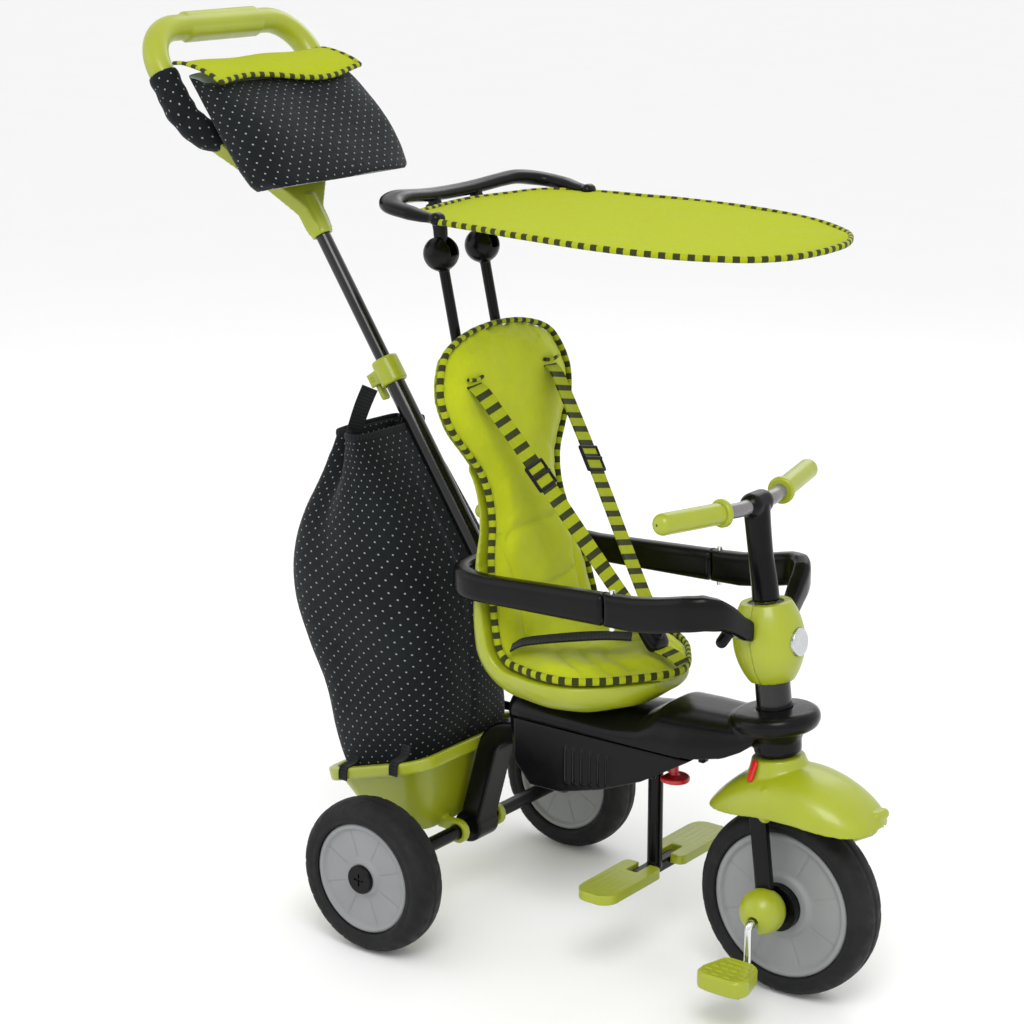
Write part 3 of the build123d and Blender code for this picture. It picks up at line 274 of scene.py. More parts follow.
LIME_COLOR = (0.3, 0.345, 0.008)
CLOTH_LIME = (0.37, 0.425, 0.006)
PAD_LIME = (0.46, 0.52, 0.008)
OLIVE = (0.032, 0.036, 0.008)
MATERIALS = {
    "lime_plastic": moulded_plastic("lime_plastic", LIME_COLOR, 0.34, coat=0.25),
    "black_plastic": moulded_plastic("black_plastic", (0.003, 0.003, 0.0035), 0.17, tint=0.2, shine=0.17),
    "black_metal": moulded_plastic("black_metal", (0.0035, 0.0035, 0.004), 0.16, coat=0.15, grain=0.00002,
                                   scuff=0.05, shine=0.4),
    "grey_plastic": moulded_plastic("grey_plastic", (0.235, 0.24, 0.245), 0.42, scuff=0.12),
    "tyre_rubber": tyre_rubber("tyre_rubber"),
    "bright_steel": metal("bright_steel", (0.72, 0.72, 0.74), 0.08),
    "silver_tube": moulded_plastic("silver_tube", (0.15, 0.142, 0.15), 0.26, coat=0.35, grain=0.00002,
                                   scuff=0.05),
    "silver_badge": metal("silver_badge", (0.6, 0.61, 0.63), 0.22),
    "red_plastic": moulded_plastic("red_plastic", (0.62, 0.012, 0.018), 0.28, coat=0.4),
    "canopy_cloth": plain_fabric("canopy_cloth", CLOTH_LIME),
    "lime_fabric": pad_fabric("lime_fabric", PAD_LIME),
    "dotted_fabric": dotted_fabric("dotted_fabric", (0.008, 0.0095, 0.011), (0.24, 0.28, 0.28)),
    "binding": striped_fabric("binding", CLOTH_LIME, OLIVE, 0.0145, 0.5),
    "webbing": striped_fabric("webbing", CLOTH_LIME, OLIVE, 0.0175, 0.42),
    "dark_webbing": striped_fabric("dark_webbing", (0.007, 0.008, 0.009), (0.014, 0.015, 0.016), 0.004, 0.5),
}


# ---- mesh helpers ------------------------------------------------------------------

def finish_piece(obj, body, slot, replaced=(), material=None):
    """Gives a piece its material, which is its slot's unless another is named, puts it on its body, and hides
    the CAD nodes it stands for.
    """
    obj.data.materials.clear()
    obj.data.materials.append(MATERIALS[material or slot])
    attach(obj, body)
    if replaced:
        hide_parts(*replaced)
    return obj


def link_mesh(name, mesh):
    obj = bpy.data.objects.new(name, mesh)
    bpy.context.scene.collection.objects.link(obj)
    return obj


def smooth_shade(obj):
    obj.data.polygons.foreach_set("use_smooth", [True] * len(obj.data.polygons))
    obj.data.update()


def read_points(obj):
    return np.array([v.co[:] for v in obj.data.vertices])


def write_points(obj, points):
    obj.data.vertices.foreach_set("co", points.ravel())
    obj.data.update()


def apply_modifiers(obj):
    graph = bpy.context.evaluated_depsgraph_get()
    made = bpy.data.meshes.new_from_object(obj.evaluated_get(graph))
    obj.modifiers.clear()
    obj.data = made
    return obj


def skin(name, rows, wrap_rows=False, wrap_cols=False, capped=False):
    """Smooth quad surface through rows of points, with a map in metres named cloth."""
    grid = np.array([[tuple(p) for p in row] for row in rows], float)
    count, width = grid.shape[:2]
    mesh = bpy.data.meshes.new(name)
    row_steps = count if wrap_rows else count - 1
    col_steps = width if wrap_cols else width - 1
    faces = []
    corners = []
    for i in range(row_steps):
        for j in range(col_steps):
            k, m = (i + 1) % count, (j + 1) % width
            faces.append((i * width + j, i * width + m, k * width + m, k * width + j))
            corners.append(((i, j), (i, j + 1), (i + 1, j + 1), (i + 1, j)))
    across = np.linalg.norm(np.diff(np.concatenate([grid, grid[:, :1]], 1), axis=1), axis=2).mean(0)
    along = np.linalg.norm(np.diff(np.concatenate([grid, grid[:1]], 0), axis=0), axis=2).mean(1)
    u = np.concatenate([[0], np.cumsum(across)])
    v = np.concatenate([[0], np.cumsum(along)])
    ends = []
    if capped and wrap_cols:
        ends = [tuple(reversed(range(width))), tuple(range((count - 1) * width, count * width))]
    mesh.from_pydata([tuple(p) for p in grid.reshape(-1, 3)], [], faces + ends)
    layer = mesh.uv_layers.new(name="cloth")
    values = []
    for quad in corners:
        for i, j in quad:
            values += [u[j], v[i]]
    values += [0.0] * (2 * sum(len(e) for e in ends))
    layer.data.foreach_set("uv", values)
    obj = link_mesh(name, mesh)
    smooth_shade(obj)
    return obj


def catmull(points, steps):
    """Points of a smooth curve through the given ones."""
    points = [Vector(p) for p in points]
    last = len(points) - 1
    made = []
    for i in range(last):
        p1, p2 = points[i], points[i + 1]
        p0 = points[i - 1] if i > 0 else p1 * 2 - p2
        p3 = points[i + 2] if i + 1 < last else p2 * 2 - p1
        for step in range(steps):
            t = step / steps
            made.append(0.5 * (2 * p1 + (p2 - p0) * t + (2 * p0 - 5 * p1 + 4 * p2 - p3) * t * t
                               + (3 * p1 - p0 - 3 * p2 + p3) * t ** 3))
    return made + points[-1:]


def resample(points, gap):
    """The same path with even steps of about the given length."""
    lengths = np.concatenate([[0], np.cumsum([(b - a).length for a, b in zip(points, points[1:])])])
    count = max(2, round(lengths[-1] / gap) + 1)
    wanted = np.linspace(0, lengths[-1], count)
    data = np.array([tuple(p) for p in points])
    return [Vector([np.interp(w, lengths, data[:, axis]) for axis in range(3)]) for w in wanted]


def closed_path(points, gap):
    """Even steps round a closed loop."""
    return resample(points + points[:1], gap)[:-1]


def across_path(tangent, reference):
    """Side and up of a section: up is the reference made square to the path."""
    tangent = tangent.normalized()
    up = (reference - tangent * reference.dot(tangent)).normalized()
    return tangent.cross(up), up


def sweep(name, path, section, reference):
    """Skin along a path. section(share) gives points (across, up) for the share of the path passed."""
    rows = []
    last = len(path) - 1
    for i, point in enumerate(path):
        side, up = across_path(path[min(i + 1, last)] - path[max(i - 1, 0)], reference)
        rows.append([point + side * a + up * b for a, b in section(i / last)])
    return skin(name, rows, wrap_cols=True, capped=True)


def ring(radius, sides):
    turns = [2 * math.pi * k / sides for k in range(sides)]
    return [(radius * math.cos(turn), radius * math.sin(turn)) for turn in turns]


def arch(angle, exponent):
    """Across and up on an arch of height and half width 1; a lower exponent has squarer shoulders."""
    c, s = math.cos(angle), math.sin(angle)
    return math.copysign(abs(c) ** exponent, c), abs(s) ** exponent


def table(rows, place, column):
    """Value of one column at a place between the rows; each row starts with its own place."""
    return np.interp(place, [row[0] for row in rows], [row[column] for row in rows])


def in_metres(profile):
    return [(a * MM, b * MM) for a, b in profile]


def oval(angle, power):
    """Cosine, sine and reach of a box-like oval; a higher power has squarer corners."""
    c, s = math.cos(angle), math.sin(angle)
    return c, s, (abs(c) ** power + abs(s) ** power) ** (-1 / power)


def rounded(half_a, half_b, power=4.0, sides=28):
    """Points round a box-like oval."""
    made = []
    for k in range(sides):
        c, s, size = oval(2 * math.pi * k / sides, power)
        made.append((half_a * c * size, half_b * s * size))
    return made


def lathe(name, profile, centre, axis, start, sides=96, wiggle=None):
    """Surface of revolution. profile lists (radius, distance along the axis); wiggle may move a point."""
    axis = axis.normalized()
    start = (start - axis * start.dot(axis)).normalized()
    other = axis.cross(start)
    rows = []
    for k in range(sides):
        angle = 2 * math.pi * k / sides
        out = start * math.cos(angle) + other * math.sin(angle)
        row = []
        for radius, shift in profile:
            if wiggle:
                radius, shift = wiggle(angle, radius, shift)
            row.append(centre + out * radius + axis * shift)
        rows.append(row)
    return skin(name, rows, wrap_rows=True)


def soften(obj, voxel, passes):
    """Rebuilds a piece on a fine voxel grid and smooths it, so that its edges are a moulding's."""
    grid = obj.modifiers.new("grid", "REMESH")
    grid.mode = "VOXEL"
    grid.voxel_size = voxel * MM
    soft = obj.modifiers.new("soft", "SMOOTH")
    soft.factor = 0.5
    soft.iterations = passes
    apply_modifiers(obj)
    smooth_shade(obj)


def moulded(node, voxel, passes):
    """Copy of a CAD node with softened edges."""
    obj = link_mesh(node + "_moulded", frame["nodes"][node].data.copy())
    soften(obj, voxel, passes)
    finish_piece(obj, NODE_BODY[node], NODE_SLOT[node], (node,))


NODE_BODY = {node: body for body, nodes in frame["record"]["behaviour"]["bodies"].items() for node in nodes}
NODE_SLOT = {part["node"]: part["material_slot"] for part in frame["record"]["subparts"]}


def dress(node):
    """Gives a CAD node that stays as it is its detailed material."""
    obj = frame["nodes"][node]
    obj.data.materials.clear()
    obj.data.materials.append(MATERIALS[NODE_SLOT[node]])


# (voxel in mm, smoothing passes) for each rigid node that gets softened edges.
SOFTENED = {
    "body_lower_pan": (1.6, 3), "rear_strut": (1.6, 5),
    "storage_bucket": (1.7, 3), "pole_collar": (0.9, 3), "collar_lever": (0.7, 3),
    "fork": (1.2, 3), "fork_cover_left": (0.9, 3), "fork_cover_right": (0.9, 3),
    "foot_pad_left": (0.9, 2), "foot_pad_right": (0.9, 2),
    "footrest_post": (1.0, 2), "steering_lock_lever": (0.5, 3),
    "column_housing_front": (1.1, 2), "column_housing_rear": (1.1, 2),
    "front_hub": (0.8, 2),
    "canopy_post_left": (1.1, 2), "canopy_post_right": (1.1, 2),
    "push_handle": (1.5, 6),
}


def rigid_pieces():
    for node, (voxel, passes) in SOFTENED.items():
        moulded(node, voxel, passes)
    for node in frame["nodes"]:
        if node not in SOFTENED:
            dress(node)


# ---- camera, light and floor -------------------------------------------------------

CAMERA_PLACE = (1277.9, -2192.5, 1221.8)
CAMERA_AZIMUTH = math.radians(37.03)
CAMERA_ELEVATION = math.radians(15.19)
FLOOR_HALF = 60.0
# Name, place in mm, side in metres and power in watts.
LAMPS = (("key", (900, -1500, 2500), 1.3, 34.0), ("fill", (-2300, -1900, 1300), 2.0, 8.0),
         ("rim", (-900, 2300, 2300), 1.6, 14.0))


def place_camera():
    camera = bpy.data.cameras.new("camera")
    camera.lens = 88.73
    camera.sensor_width = 36.0
    eye = bpy.data.objects.new("camera", camera)
    eye.location = world(*CAMERA_PLACE)
    eye.rotation_euler = (math.pi / 2 - CAMERA_ELEVATION, 0, CAMERA_AZIMUTH)
    bpy.context.scene.collection.objects.link(eye)
    bpy.context.scene.camera = eye


def lay_floor():
    mesh = bpy.data.meshes.new("floor")
    corners = [(FLOOR_HALF * x, FLOOR_HALF * y, 0) for x, y in ((-1, -1), (1, -1), (1, 1), (-1, 1))]
    mesh.from_pydata(corners, [], [(0, 1, 2, 3)])
    floor = link_mesh("floor", mesh)
    paper, tree, shader, place = new_material("floor_paper")
    tone = mix_color(tree, noise(tree, place, 3.0), (0.93, 0.93, 0.93, 1), (0.95, 0.95, 0.95, 1))
    link_all(tree, shader, Base_Color=tone)
    shader.inputs["Roughness"].default_value = 0.7
    floor.data.materials.append(paper)


def light_studio():
    sky = bpy.data.worlds.new("studio")
    sky.use_nodes = True
    background = sky.node_tree.nodes["Background"]
    background.inputs[0].default_value = (1, 1, 1, 1)
    background.inputs[1].default_value = 0.98
    bpy.context.scene.world = sky
    target = world(-330, 0, 400)
    for name, place, size, power in LAMPS:
        lamp = bpy.data.lights.new(name, "AREA")
        lamp.size = size
        lamp.energy = power
        held = bpy.data.objects.new(name, lamp)
        held.location = world(*place)
        held.rotation_euler = (target - held.location).to_track_quat("-Z", "Y").to_euler()
        bpy.context.scene.collection.objects.link(held)


def studio():
    place_camera()
    lay_floor()
    light_studio()
    bpy.context.scene.view_settings.view_transform = "Standard"


# ---- seat pad ----------------------------------------------------------------------

RECLINE = math.radians(12.5)
BACK_UP = Vector((-math.sin(RECLINE), 0, math.cos(RECLINE)))
BACK_OUT = Vector((math.cos(RECLINE), 0, math.sin(RECLINE)))
BACK_FOOT = world(-305, 0, 300)
ACROSS = Vector((0, 1, 0))
PAD_HALF = 8.0
CREASE_R = 30.0


def pad_centre_line():
    """Side view of the pad's middle: down the backrest, round the crease and out along the seat."""
    head = BACK_FOOT + BACK_UP * 402 * MM - BACK_OUT * 9 * MM
    seat_z = world(0, 0, 333.5).z
    turn = math.pi / 2 - RECLINE
    slope = (head.z - seat_z) / BACK_UP.z
    corner = head - BACK_UP * slope
    tangent = CREASE_R * MM * math.tan(turn / 2)
    start = corner + BACK_UP * tangent
    centre = start + BACK_OUT * CREASE_R * MM
    points = [head, *[head + (start - head) * k / 60 for k in range(1, 60)]]
    for k in range(13):
        angle = turn * k / 12
        points.append(centre - (BACK_OUT * math.cos(angle) + BACK_UP * math.sin(angle)) * CREASE_R * MM)
    end = Vector((world(-143, 0, 0).x, 0, seat_z))
    last = points[-1]
    points += [last + (end - last) * k / 40 for k in range(1, 41)]
    return resample(points, 2 * MM)


class Ribbon:
    """Place on the pad's middle surface for a distance along it and a distance across."""

    def __init__(self, line):
        self.line = np.array([tuple(p) for p in line])
        steps = np.linalg.norm(np.diff(self.line, axis=0), axis=1)
        self.along = np.concatenate([[0], np.cumsum(steps)])
        self.length = self.along[-1]
        tangent = np.gradient(self.line, axis=0)
        tangent /= np.linalg.norm(tangent, axis=1)[:, None]
        self.normal = np.stack([-tangent[:, 2], np.zeros(len(line)), tangent[:, 0]], 1)

    def at(self, along, across, out=0.0):
        place = [np.interp(along, self.along, self.line[:, axis]) for axis in range(3)]
        normal = [np.interp(along, self.along, self.normal[:, axis]) for axis in range(3)]
        return Vector(place) + ACROSS * across + Vector(normal).normalized() * out

    def locate(self, points):
        """Distance along and height off the middle for each point."""
        flat = points[:, [0, 2]]
        gaps = ((flat[:, None, :] - self.line[None, :, [0, 2]]) ** 2).sum(2)
        nearest = gaps.argmin(1)
        off = ((points - self.line[nearest]) * self.normal[nearest]).sum(1)
        return self.along[nearest], off, self.normal[nearest]


# Half outline of the pad, in mm: distance from the head's top, and half width.
PAD_OUTLINE = ((0, 0), (4, 44), (16, 84), (34, 104), (68, 116), (104, 108), (134, 88), (160, 71), (190, 64),
               (222, 67), (256, 79), (294, 88), (330, 93), (362, 95), (392, 99), (420, 106), (448, 108),
               (474, 101), (500, 80), (522, 52), (540, 24), (548, 0))


def pad_outline(ribbon):
    """Evenly spaced half outline as (along, across) in metres, stretched to the ribbon's length."""
    points = [Vector((a, b, 0)) * MM for a, b in PAD_OUTLINE]
    curve = resample(catmull(points, 12), 4 * MM)
    stretch = (ribbon.length - 1 * MM) / curve[-1].x
    return [(p.x * stretch, max(p.y, 0.0)) for p in curve]


def pad_body(ribbon, outline):
    rows = []
    for along, half in outline[1:-1]:
        thick = min(PAD_HALF * MM, half * 0.6 + 1.5 * MM)
        inset = max(half - 2 * MM, 1 * MM)
        rows.append([ribbon.at(along, a, b) for a, b in rounded(inset, thick, 3.0, 48)])
    return skin("seat_pad", rows, wrap_cols=True, capped=True)


def inflate(obj, voxel, cap, hold, pressure=4.0, frames=20):
    """Fills the form with the cloth solver, and keeps each point within cap of its start.

    hold(points) is the share of cap that each point may use, so that a sewn edge stays in place.
    """
    grid = obj.modifiers.new("grid", "REMESH")
    grid.mode = "VOXEL"
    grid.voxel_size = voxel
    apply_modifiers(obj)
    start = read_points(obj)
    cloth = obj.modifiers.new("cloth", "CLOTH")
    cloth.settings.use_pressure = True
    cloth.settings.uniform_pressure_force = pressure
    cloth.settings.effector_weights.gravity = 0
    cloth.settings.quality = 4
    cloth.point_cache.frame_start = 1
    cloth.point_cache.frame_end = frames
    scene = bpy.context.scene
    for number in range(1, frames + 1):
        scene.frame_set(number)
    apply_modifiers(obj)
    scene.frame_set(1)
    moved = read_points(obj) - start
    size = np.linalg.norm(moved, axis=1)
    limit = cap * hold(start)
    scale = np.where(size > limit, limit / np.maximum(size, 1e-9), 1.0)
    start = start + moved * scale[:, None]
    write_points(obj, start)
    finer = obj.modifiers.new("finer", "SUBSURF")
    finer.levels = 1
    finer.render_levels = 1
    apply_modifiers(obj)
    smooth_shade(obj)
    return obj


def crease_depth(distance, width=4.4):
    return np.exp(-np.abs(distance) / (width * MM))


def pad_seams(along, across):
    """Total depth of the sewn channels, 0 to 1, for places given in metres."""
    a, b = along / MM, np.abs(across) / MM
    lumbar_side = crease_depth((b - 56 - 0.0006 * (a - 330) ** 2) * MM) * ((a > 228) & (a < 372))
    corner = np.hypot(np.maximum(b - 34, 0), np.maximum(250 - a, 0))
    lumbar_top = crease_depth((corner - 24) * MM) * (a < 250)
    lower = crease_depth((a - 300 + 0.0032 * b ** 2) * MM) * (b < 60)
    total = np.maximum.reduce([lumbar_side, lumbar_top, lower])
    for radius_a, radius_b in ((34, 42), (62, 62), (94, 84)):
        ring_gap = (np.hypot((a - 478) / radius_a, b / radius_b) - 1) * min(radius_a, radius_b)
        total = np.maximum(total, crease_depth(ring_gap * MM) * (a < 500) * (a > 372))
    return total


def seat_pad():
    ribbon = Ribbon(pad_centre_line())
    outline = pad_outline(ribbon)

    def hold(points):
        along = ribbon.locate(points)[0]
        half = np.interp(along, [a for a, _ in outline], [b for _, b in outline])
        return np.clip((half - np.abs(points[:, 1])) / (16 * MM), 0.06, 1.0)

    pad = inflate(pad_body(ribbon, outline), 4.5 * MM, 6.5 * MM, hold)
    points = read_points(pad)
    along, off, normal = ribbon.locate(points)
    front = np.clip(off / (4 * MM), 0, 1)
    depth = pad_seams(along, points[:, 1]) * front * 4.2 * MM
    quilt = 0.7 * MM * np.sin(along / MM * 0.09 + 1) * np.cos(points[:, 1] / MM * 0.07) * front
    points -= normal * (depth - quilt)[:, None]
    behind = np.minimum(off + 9.0 * MM, 0)
    points -= normal * behind[:, None]
    write_points(pad, points)
    finish_piece(pad, "frame", "lime_fabric", ("seat_cushion", "back_cushion"))

    rim = [ribbon.at(a, b, 1.5 * MM) for a, b in outline]
    rim += [ribbon.at(a, -b, 1.5 * MM) for a, b in outline[-2:0:-1]]
    path = closed_path(rim, 2.5 * MM)
    binding = edge_binding("seat_pad_binding", path, lambda k: pad_edge_up(ribbon, path[k]), 4.4, 3.0)
    finish_piece(binding, "frame", "lime_fabric", (), "binding")
    return ribbon, outline


def pad_edge_up(ribbon, point):
    _, _, normal = ribbon.locate(np.array([tuple(point)]))
    return Vector(normal[0])


def edge_binding(name, path, up_at, half_up, half_out):
    """Closed band of bias tape wrapped round an edge, its bars across it."""
    rows = []
    count = len(path)
    for k, point in enumerate(path):
        side, up = across_path(path[(k + 1) % count] - path[k - 1], up_at(k))
        rows.append([point + side * a * MM + up * b * MM for a, b in rounded(half_out, half_up, 2.4, 12)])
    return skin(name, rows, wrap_rows=True, wrap_cols=True)


# ---- harness -----------------------------------------------------------------------

# Half section of a strap: place across it and depth there, as shares of its half width and half thickness.
STRAP_EDGE = ((-1, 0.5), (-0.97, 1.25), (-0.9, 1), (0, 0.85), (0.9, 1), (0.97, 1.25), (1, 0.5))


def strap(name, points, facing, width=24.0, thick=1.8, material="webbing", slot="webbing"):
    """Woven strip through points, its flat side kept towards facing."""
    path = resample(catmull(points, 10), 3 * MM)
    half = width / 2 * MM
    body = thick / 2 * MM
    section = [(half * a, -body * b) for a, b in STRAP_EDGE]
    section += [(half * a, body * b) for a, b in reversed(STRAP_EDGE)]
    piece = sweep(name, path, lambda share: section, facing)
    return finish_piece(piece, "frame", slot, (), material)


def shoulder_line(side):
    """Top end of a shoulder strap and its run down to the buckle."""
    top = world(-370, side * 70, 634)
    return top, world(-192, side * 13, 386) - top


def harness():
    first = None
    for side, word in SIDES:
        top, run = shoulder_line(side)
        points = [top - BACK_OUT * 9 * MM + BACK_UP * 4 * MM, top + run * 0.02]
        points += [top + run * share + BACK_OUT * bow * MM for share, bow in
                   ((0.1, 1.2), (0.3, 2.2), (0.5, 1.6), (0.7, 0.2), (0.9, -0.6), (1.0, 0))]
        piece = strap("shoulder_strap_" + word, points, BACK_OUT)
        first = first or piece
        waist = [world(-309, side * 90, 352), world(-296, side * 84, 360), world(-262, side * 64, 366),
                 world(-226, side * 38, 369), world(-197, side * 20, 369)]
        strap("waist_strap_" + word, waist, Vector((0.25, 0, 1)), 20.0, 1.8, "dark_webbing")
        slit = [top + BACK_UP * 9 * MM - ACROSS * side * 13 * MM - BACK_OUT * 1 * MM,
                top + BACK_UP * 7 * MM - BACK_OUT * 0.5 * MM,
                top + BACK_UP * 9 * MM + ACROSS * side * 13 * MM - BACK_OUT * 1 * MM]
        path = resample(catmull(slit, 6), 2 * MM)
        edge = sweep("slit_binding_" + word, path, lambda share: ring(2.2 * MM, 8), BACK_OUT)
        finish_piece(edge, "frame", "lime_fabric", (), "binding")
    tip = [world(-180, 0, 356), world(-168, 0, 354), world(-154, 0, 350), world(-143, 0, 344)]
    strap("crotch_strap", tip, Vector((0.3, 0, 1)))
    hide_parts("harness_straps")
    harness_fittings()


def strap_frame(side):
    """Place on a shoulder strap at its adjuster: middle, along it, across it and off its flat side."""
    top, run = shoulder_line(side)
    along = run.normalized()
    off = (BACK_OUT - along * BACK_OUT.dot(along)).normalized()
    return top + run * 0.38 + BACK_OUT * 2.0 * MM, along, along.cross(off), off


def rod(name, start, end, radius):
    return pill(name, start, end, radius * MM, 14)


def harness_fittings():
    """Buckle with a press button and two prongs, and a ladder adjuster on each shoulder strap."""
    parts = []
    for side, _ in SIDES:
        middle, along, across, off = strap_frame(side)

        def spot(a, b, c):
            return middle + (along * a + across * b + off * c) * MM

        for a in (-14, 14):
            parts.append(rod("adjuster_end", spot(a, -14.5, 0.4), spot(a, 14.5, 0.4), 2.1))
        for b in (-14.5, 14.5):
            parts.append(rod("adjuster_side", spot(-14, b, 0.4), spot(14, b, 0.4), 2.1))
        parts.append(rod("adjuster_bar", spot(0, -14.5, 1.8), spot(0, 14.5, 1.8), 1.9))
    tilt = math.radians(-35)
    forward = Vector((math.cos(tilt), 0, -math.sin(tilt)))
    upward = Vector((math.sin(tilt), 0, math.cos(tilt)))
    centre = world(-184, 0, 370)
    rows = []
    for height in np.linspace(-21, 21, 30):
        share = height / 21
        half = 17.5 * (1 - 0.12 * share ** 2) * (1 - abs(share) ** 9) ** 0.5 + 0.4
        deep = 6.6 * (1 - abs(share) ** 7) ** 0.5 + 0.3
        rows.append([centre + (ACROSS * a * half + forward * b * deep + upward * height) * MM
                     for a, b in rounded(1, 1, 3.4, 32)])
    parts.append(skin("buckle_body", rows, wrap_cols=True, capped=True))
    parts.append(rod("buckle_rib", centre + (forward * 6 - ACROSS * 10 + upward * 13) * MM,
                     centre + (forward * 6 + ACROSS * 10 + upward * 13) * MM, 1.6))
    for side, _ in SIDES:
        parts.append(rod("buckle_prong", centre + (ACROSS * side * 12 + upward * 16) * MM,
                         centre + (ACROSS * side * 13 + upward * 29) * MM, 3.6))
    fused("harness_fittings", parts, 0.6, 2, "frame", "black_plastic", "harness_hardware")
    knob = centre + forward * 6.0 * MM - upward * 3 * MM
    profile = [(7.5, 0), (7.5, 1.6), (6.8, 2.3), (4, 2.0), (0.3, 1.8)]
    button = lathe("buckle_button", in_metres(profile), knob, forward, ACROSS, 40)
    finish_piece(button, "frame", "black_plastic")


# ---- sunshade ----------------------------------------------------------------------

SLOPE = math.radians(1.4)
SHADE_X = Vector((math.cos(SLOPE), 0, -math.sin(SLOPE)))
SHADE_UP = Vector((math.sin(SLOPE), 0, math.cos(SLOPE)))
SHADE_START = world(-446, 0, 826)
SHADE_LENGTH = 464
# Half outline of the shade, in mm: distance from its rear edge, and half width.
SHADE_OUTLINE = ((4, 0), (8, 34), (14, 66), (26, 114), (60, 134), (100, 143), (140, 148), (180, 155),
                 (220, 158), (260, 160), (300, 158), (342, 150), (380, 137), (412, 118), (436, 97), (452, 70),
                 (461, 40), (464, 0))


def shade_point(along, across, half, out=0.0):
    """Place on the sheet: a long low arch, and a shallow dip between its bound edges."""
    share = min(max(along / (SHADE_LENGTH * MM), 0), 1)
    rise = 3.0 * math.sin(math.pi * share) - 1.2
    dip = 2.4 * (1 - (across / max(half, 1 * MM)) ** 2) * math.sin(math.pi * share) ** 0.7
    return SHADE_START + SHADE_X * along + ACROSS * across + SHADE_UP * (out + (rise - dip - 2.0) * MM)


def shade_outline():
    points = [Vector((a, b, 0)) * MM for a, b in SHADE_OUTLINE]
    return [(p.x, max(p.y, 0.0)) for p in resample(catmull(points, 12), 4 * MM)]


def sunshade():
    outline = shade_outline()
    columns = 56
    thick = 1.1 * MM
    rows = []
    for along, half in outline[1:-1]:
        upper = []
        lower = []
        for k in range(columns + 1):
            across = half * math.sin((k / columns - 0.5) * math.pi)
            ripple = 0.5 * MM * math.sin(along / MM * 0.045 + 2.0 * math.sin(across / MM * 0.03))
            upper.append(shade_point(along, across, half, thick + ripple))
            lower.append(shade_point(along, across, half, -thick + ripple))
        rows.append(upper + lower[::-1])
    sheet = skin("sunshade_sheet", rows, wrap_cols=True, capped=True)
    finish_piece(sheet, "canopy", "lime_fabric", ("canopy_fabric",), "canopy_cloth")
    rim = [shade_point(a, b, b) for a, b in outline] + [shade_point(a, -b, b) for a, b in outline[-2:0:-1]]
    path = closed_path(rim, 3 * MM)
    binding = edge_binding("sunshade_binding", path, lambda k: SHADE_UP, 3.4, 3.0)
    finish_piece(binding, "canopy", "lime_fabric", (), "binding")


# ---- storage bag -------------------------------------------------------------------

# Bag sections, in mm: height, rear and front ahead of the axle, half width, and then the corner power.
BAG_LEVELS = ((142, -552, -456, 80, 4.2), (152, -561, -449, 87, 4.2), (176, -571, -441, 92, 4.2),
              (215, -588, -434, 95, 4.2), (255, -603, -432, 95, 4.0), (300, -627, -434, 96, 4.0),
              (345, -648, -438, 96, 4.0), (385, -656, -444, 95, 3.8), (420, -653, -463, 92, 3.6),
              (455, -640, -486, 88, 3.4), (490, -621, -508, 82, 3.2), (520, -606, -528, 76, 3.2),
              (540, -596, -541, 71, 3.4), (548, -593, -546, 69, 3.6))
BAG_MOUTH = 548
BAG_SIDES = 132


def bag_fold(angle, height):
    """Inward push in mm at a bearing round the bag: side gussets near the top, soft hanging folds below."""
    total = 0.0
    rise = min(max((height - 380) / 120, 0), 1)
    for bearing in (math.radians(112), math.radians(-112)):
        gap = (angle - bearing + math.pi) % (2 * math.pi) - math.pi
        total += 17 * rise * math.exp(-(gap / 0.3) ** 2)
    hang = math.sin(3.1 * angle + height * 0.021) + 0.7 * math.sin(5.3 * angle - height * 0.013 + 1.3)
    total += 1.6 * hang
    total += 1.8 * math.sin(height * 0.05 + 2 * math.sin(angle * 2)) * math.exp(-((height - 190) / 60) ** 2)
    return total


def bag_point(angle, height, level, shrink=0.0):
    z, rear, front, half, power = level
    c, s, size = oval(angle, power)
    push = 1 - (bag_fold(angle, height) + shrink) / max(40.0, min(half, (front - rear) / 2))
    centre = (rear + front) / 2
    tilt = 0.29 * (c * size * (front - rear) / 2) * max(0.0, min(1.0, (260 - height) / 110))
    return world(centre + c * size * push * (front - rear) / 2, s * size * push * half, z + tilt)


def bag_loop(height, level, shrink=0.0):
    return [bag_point(2 * math.pi * k / BAG_SIDES, height, level, shrink) for k in range(BAG_SIDES)]


def storage_bag():
    keys = np.array(BAG_LEVELS, float)
    heights = np.linspace(keys[0, 0], keys[-1, 0], 110)
    path = catmull([Vector((k[1], k[2], k[3])) for k in keys], 16)
    levels = np.interp(np.linspace(0, 1, len(path)), np.linspace(0, 1, len(keys)), keys[:, 0])
    rows = []
    for height in heights:
        rear, front, half = (np.interp(height, levels, [p[axis] for p in path]) for axis in range(3))
        power = table(BAG_LEVELS, height, 4)
        rows.append(bag_loop(height, (height, rear, front, half, power)))
    for share in (0.0, 0.35, 0.7, 1.0):
        level = (heights[-1] - 3 - 30 * share, keys[-1, 1] + 4, keys[-1, 2] - 4, keys[-1, 3] - 4, 3.2)
        rows.append(bag_loop(BAG_MOUTH, level, 3 + 6 * share))
    bag = skin("storage_bag_shell", rows, wrap_cols=True, capped=True)
    finish_piece(bag, "frame", "dotted_fabric", ("storage_bag",))
    brim = closed_path(bag_loop(BAG_MOUTH, tuple(keys[-1])), 3 * MM)
    hem = edge_binding("storage_bag_hem", brim, lambda k: Vector((0, 0, 1)), 4.0, 1.6)
    finish_piece(hem, "frame", "dotted_fabric", (), "dark_webbing")


def bag_strap(name, line, facing, width, thick):
    return strap(name, line, facing, width, thick, "dark_webbing", "dotted_fabric")


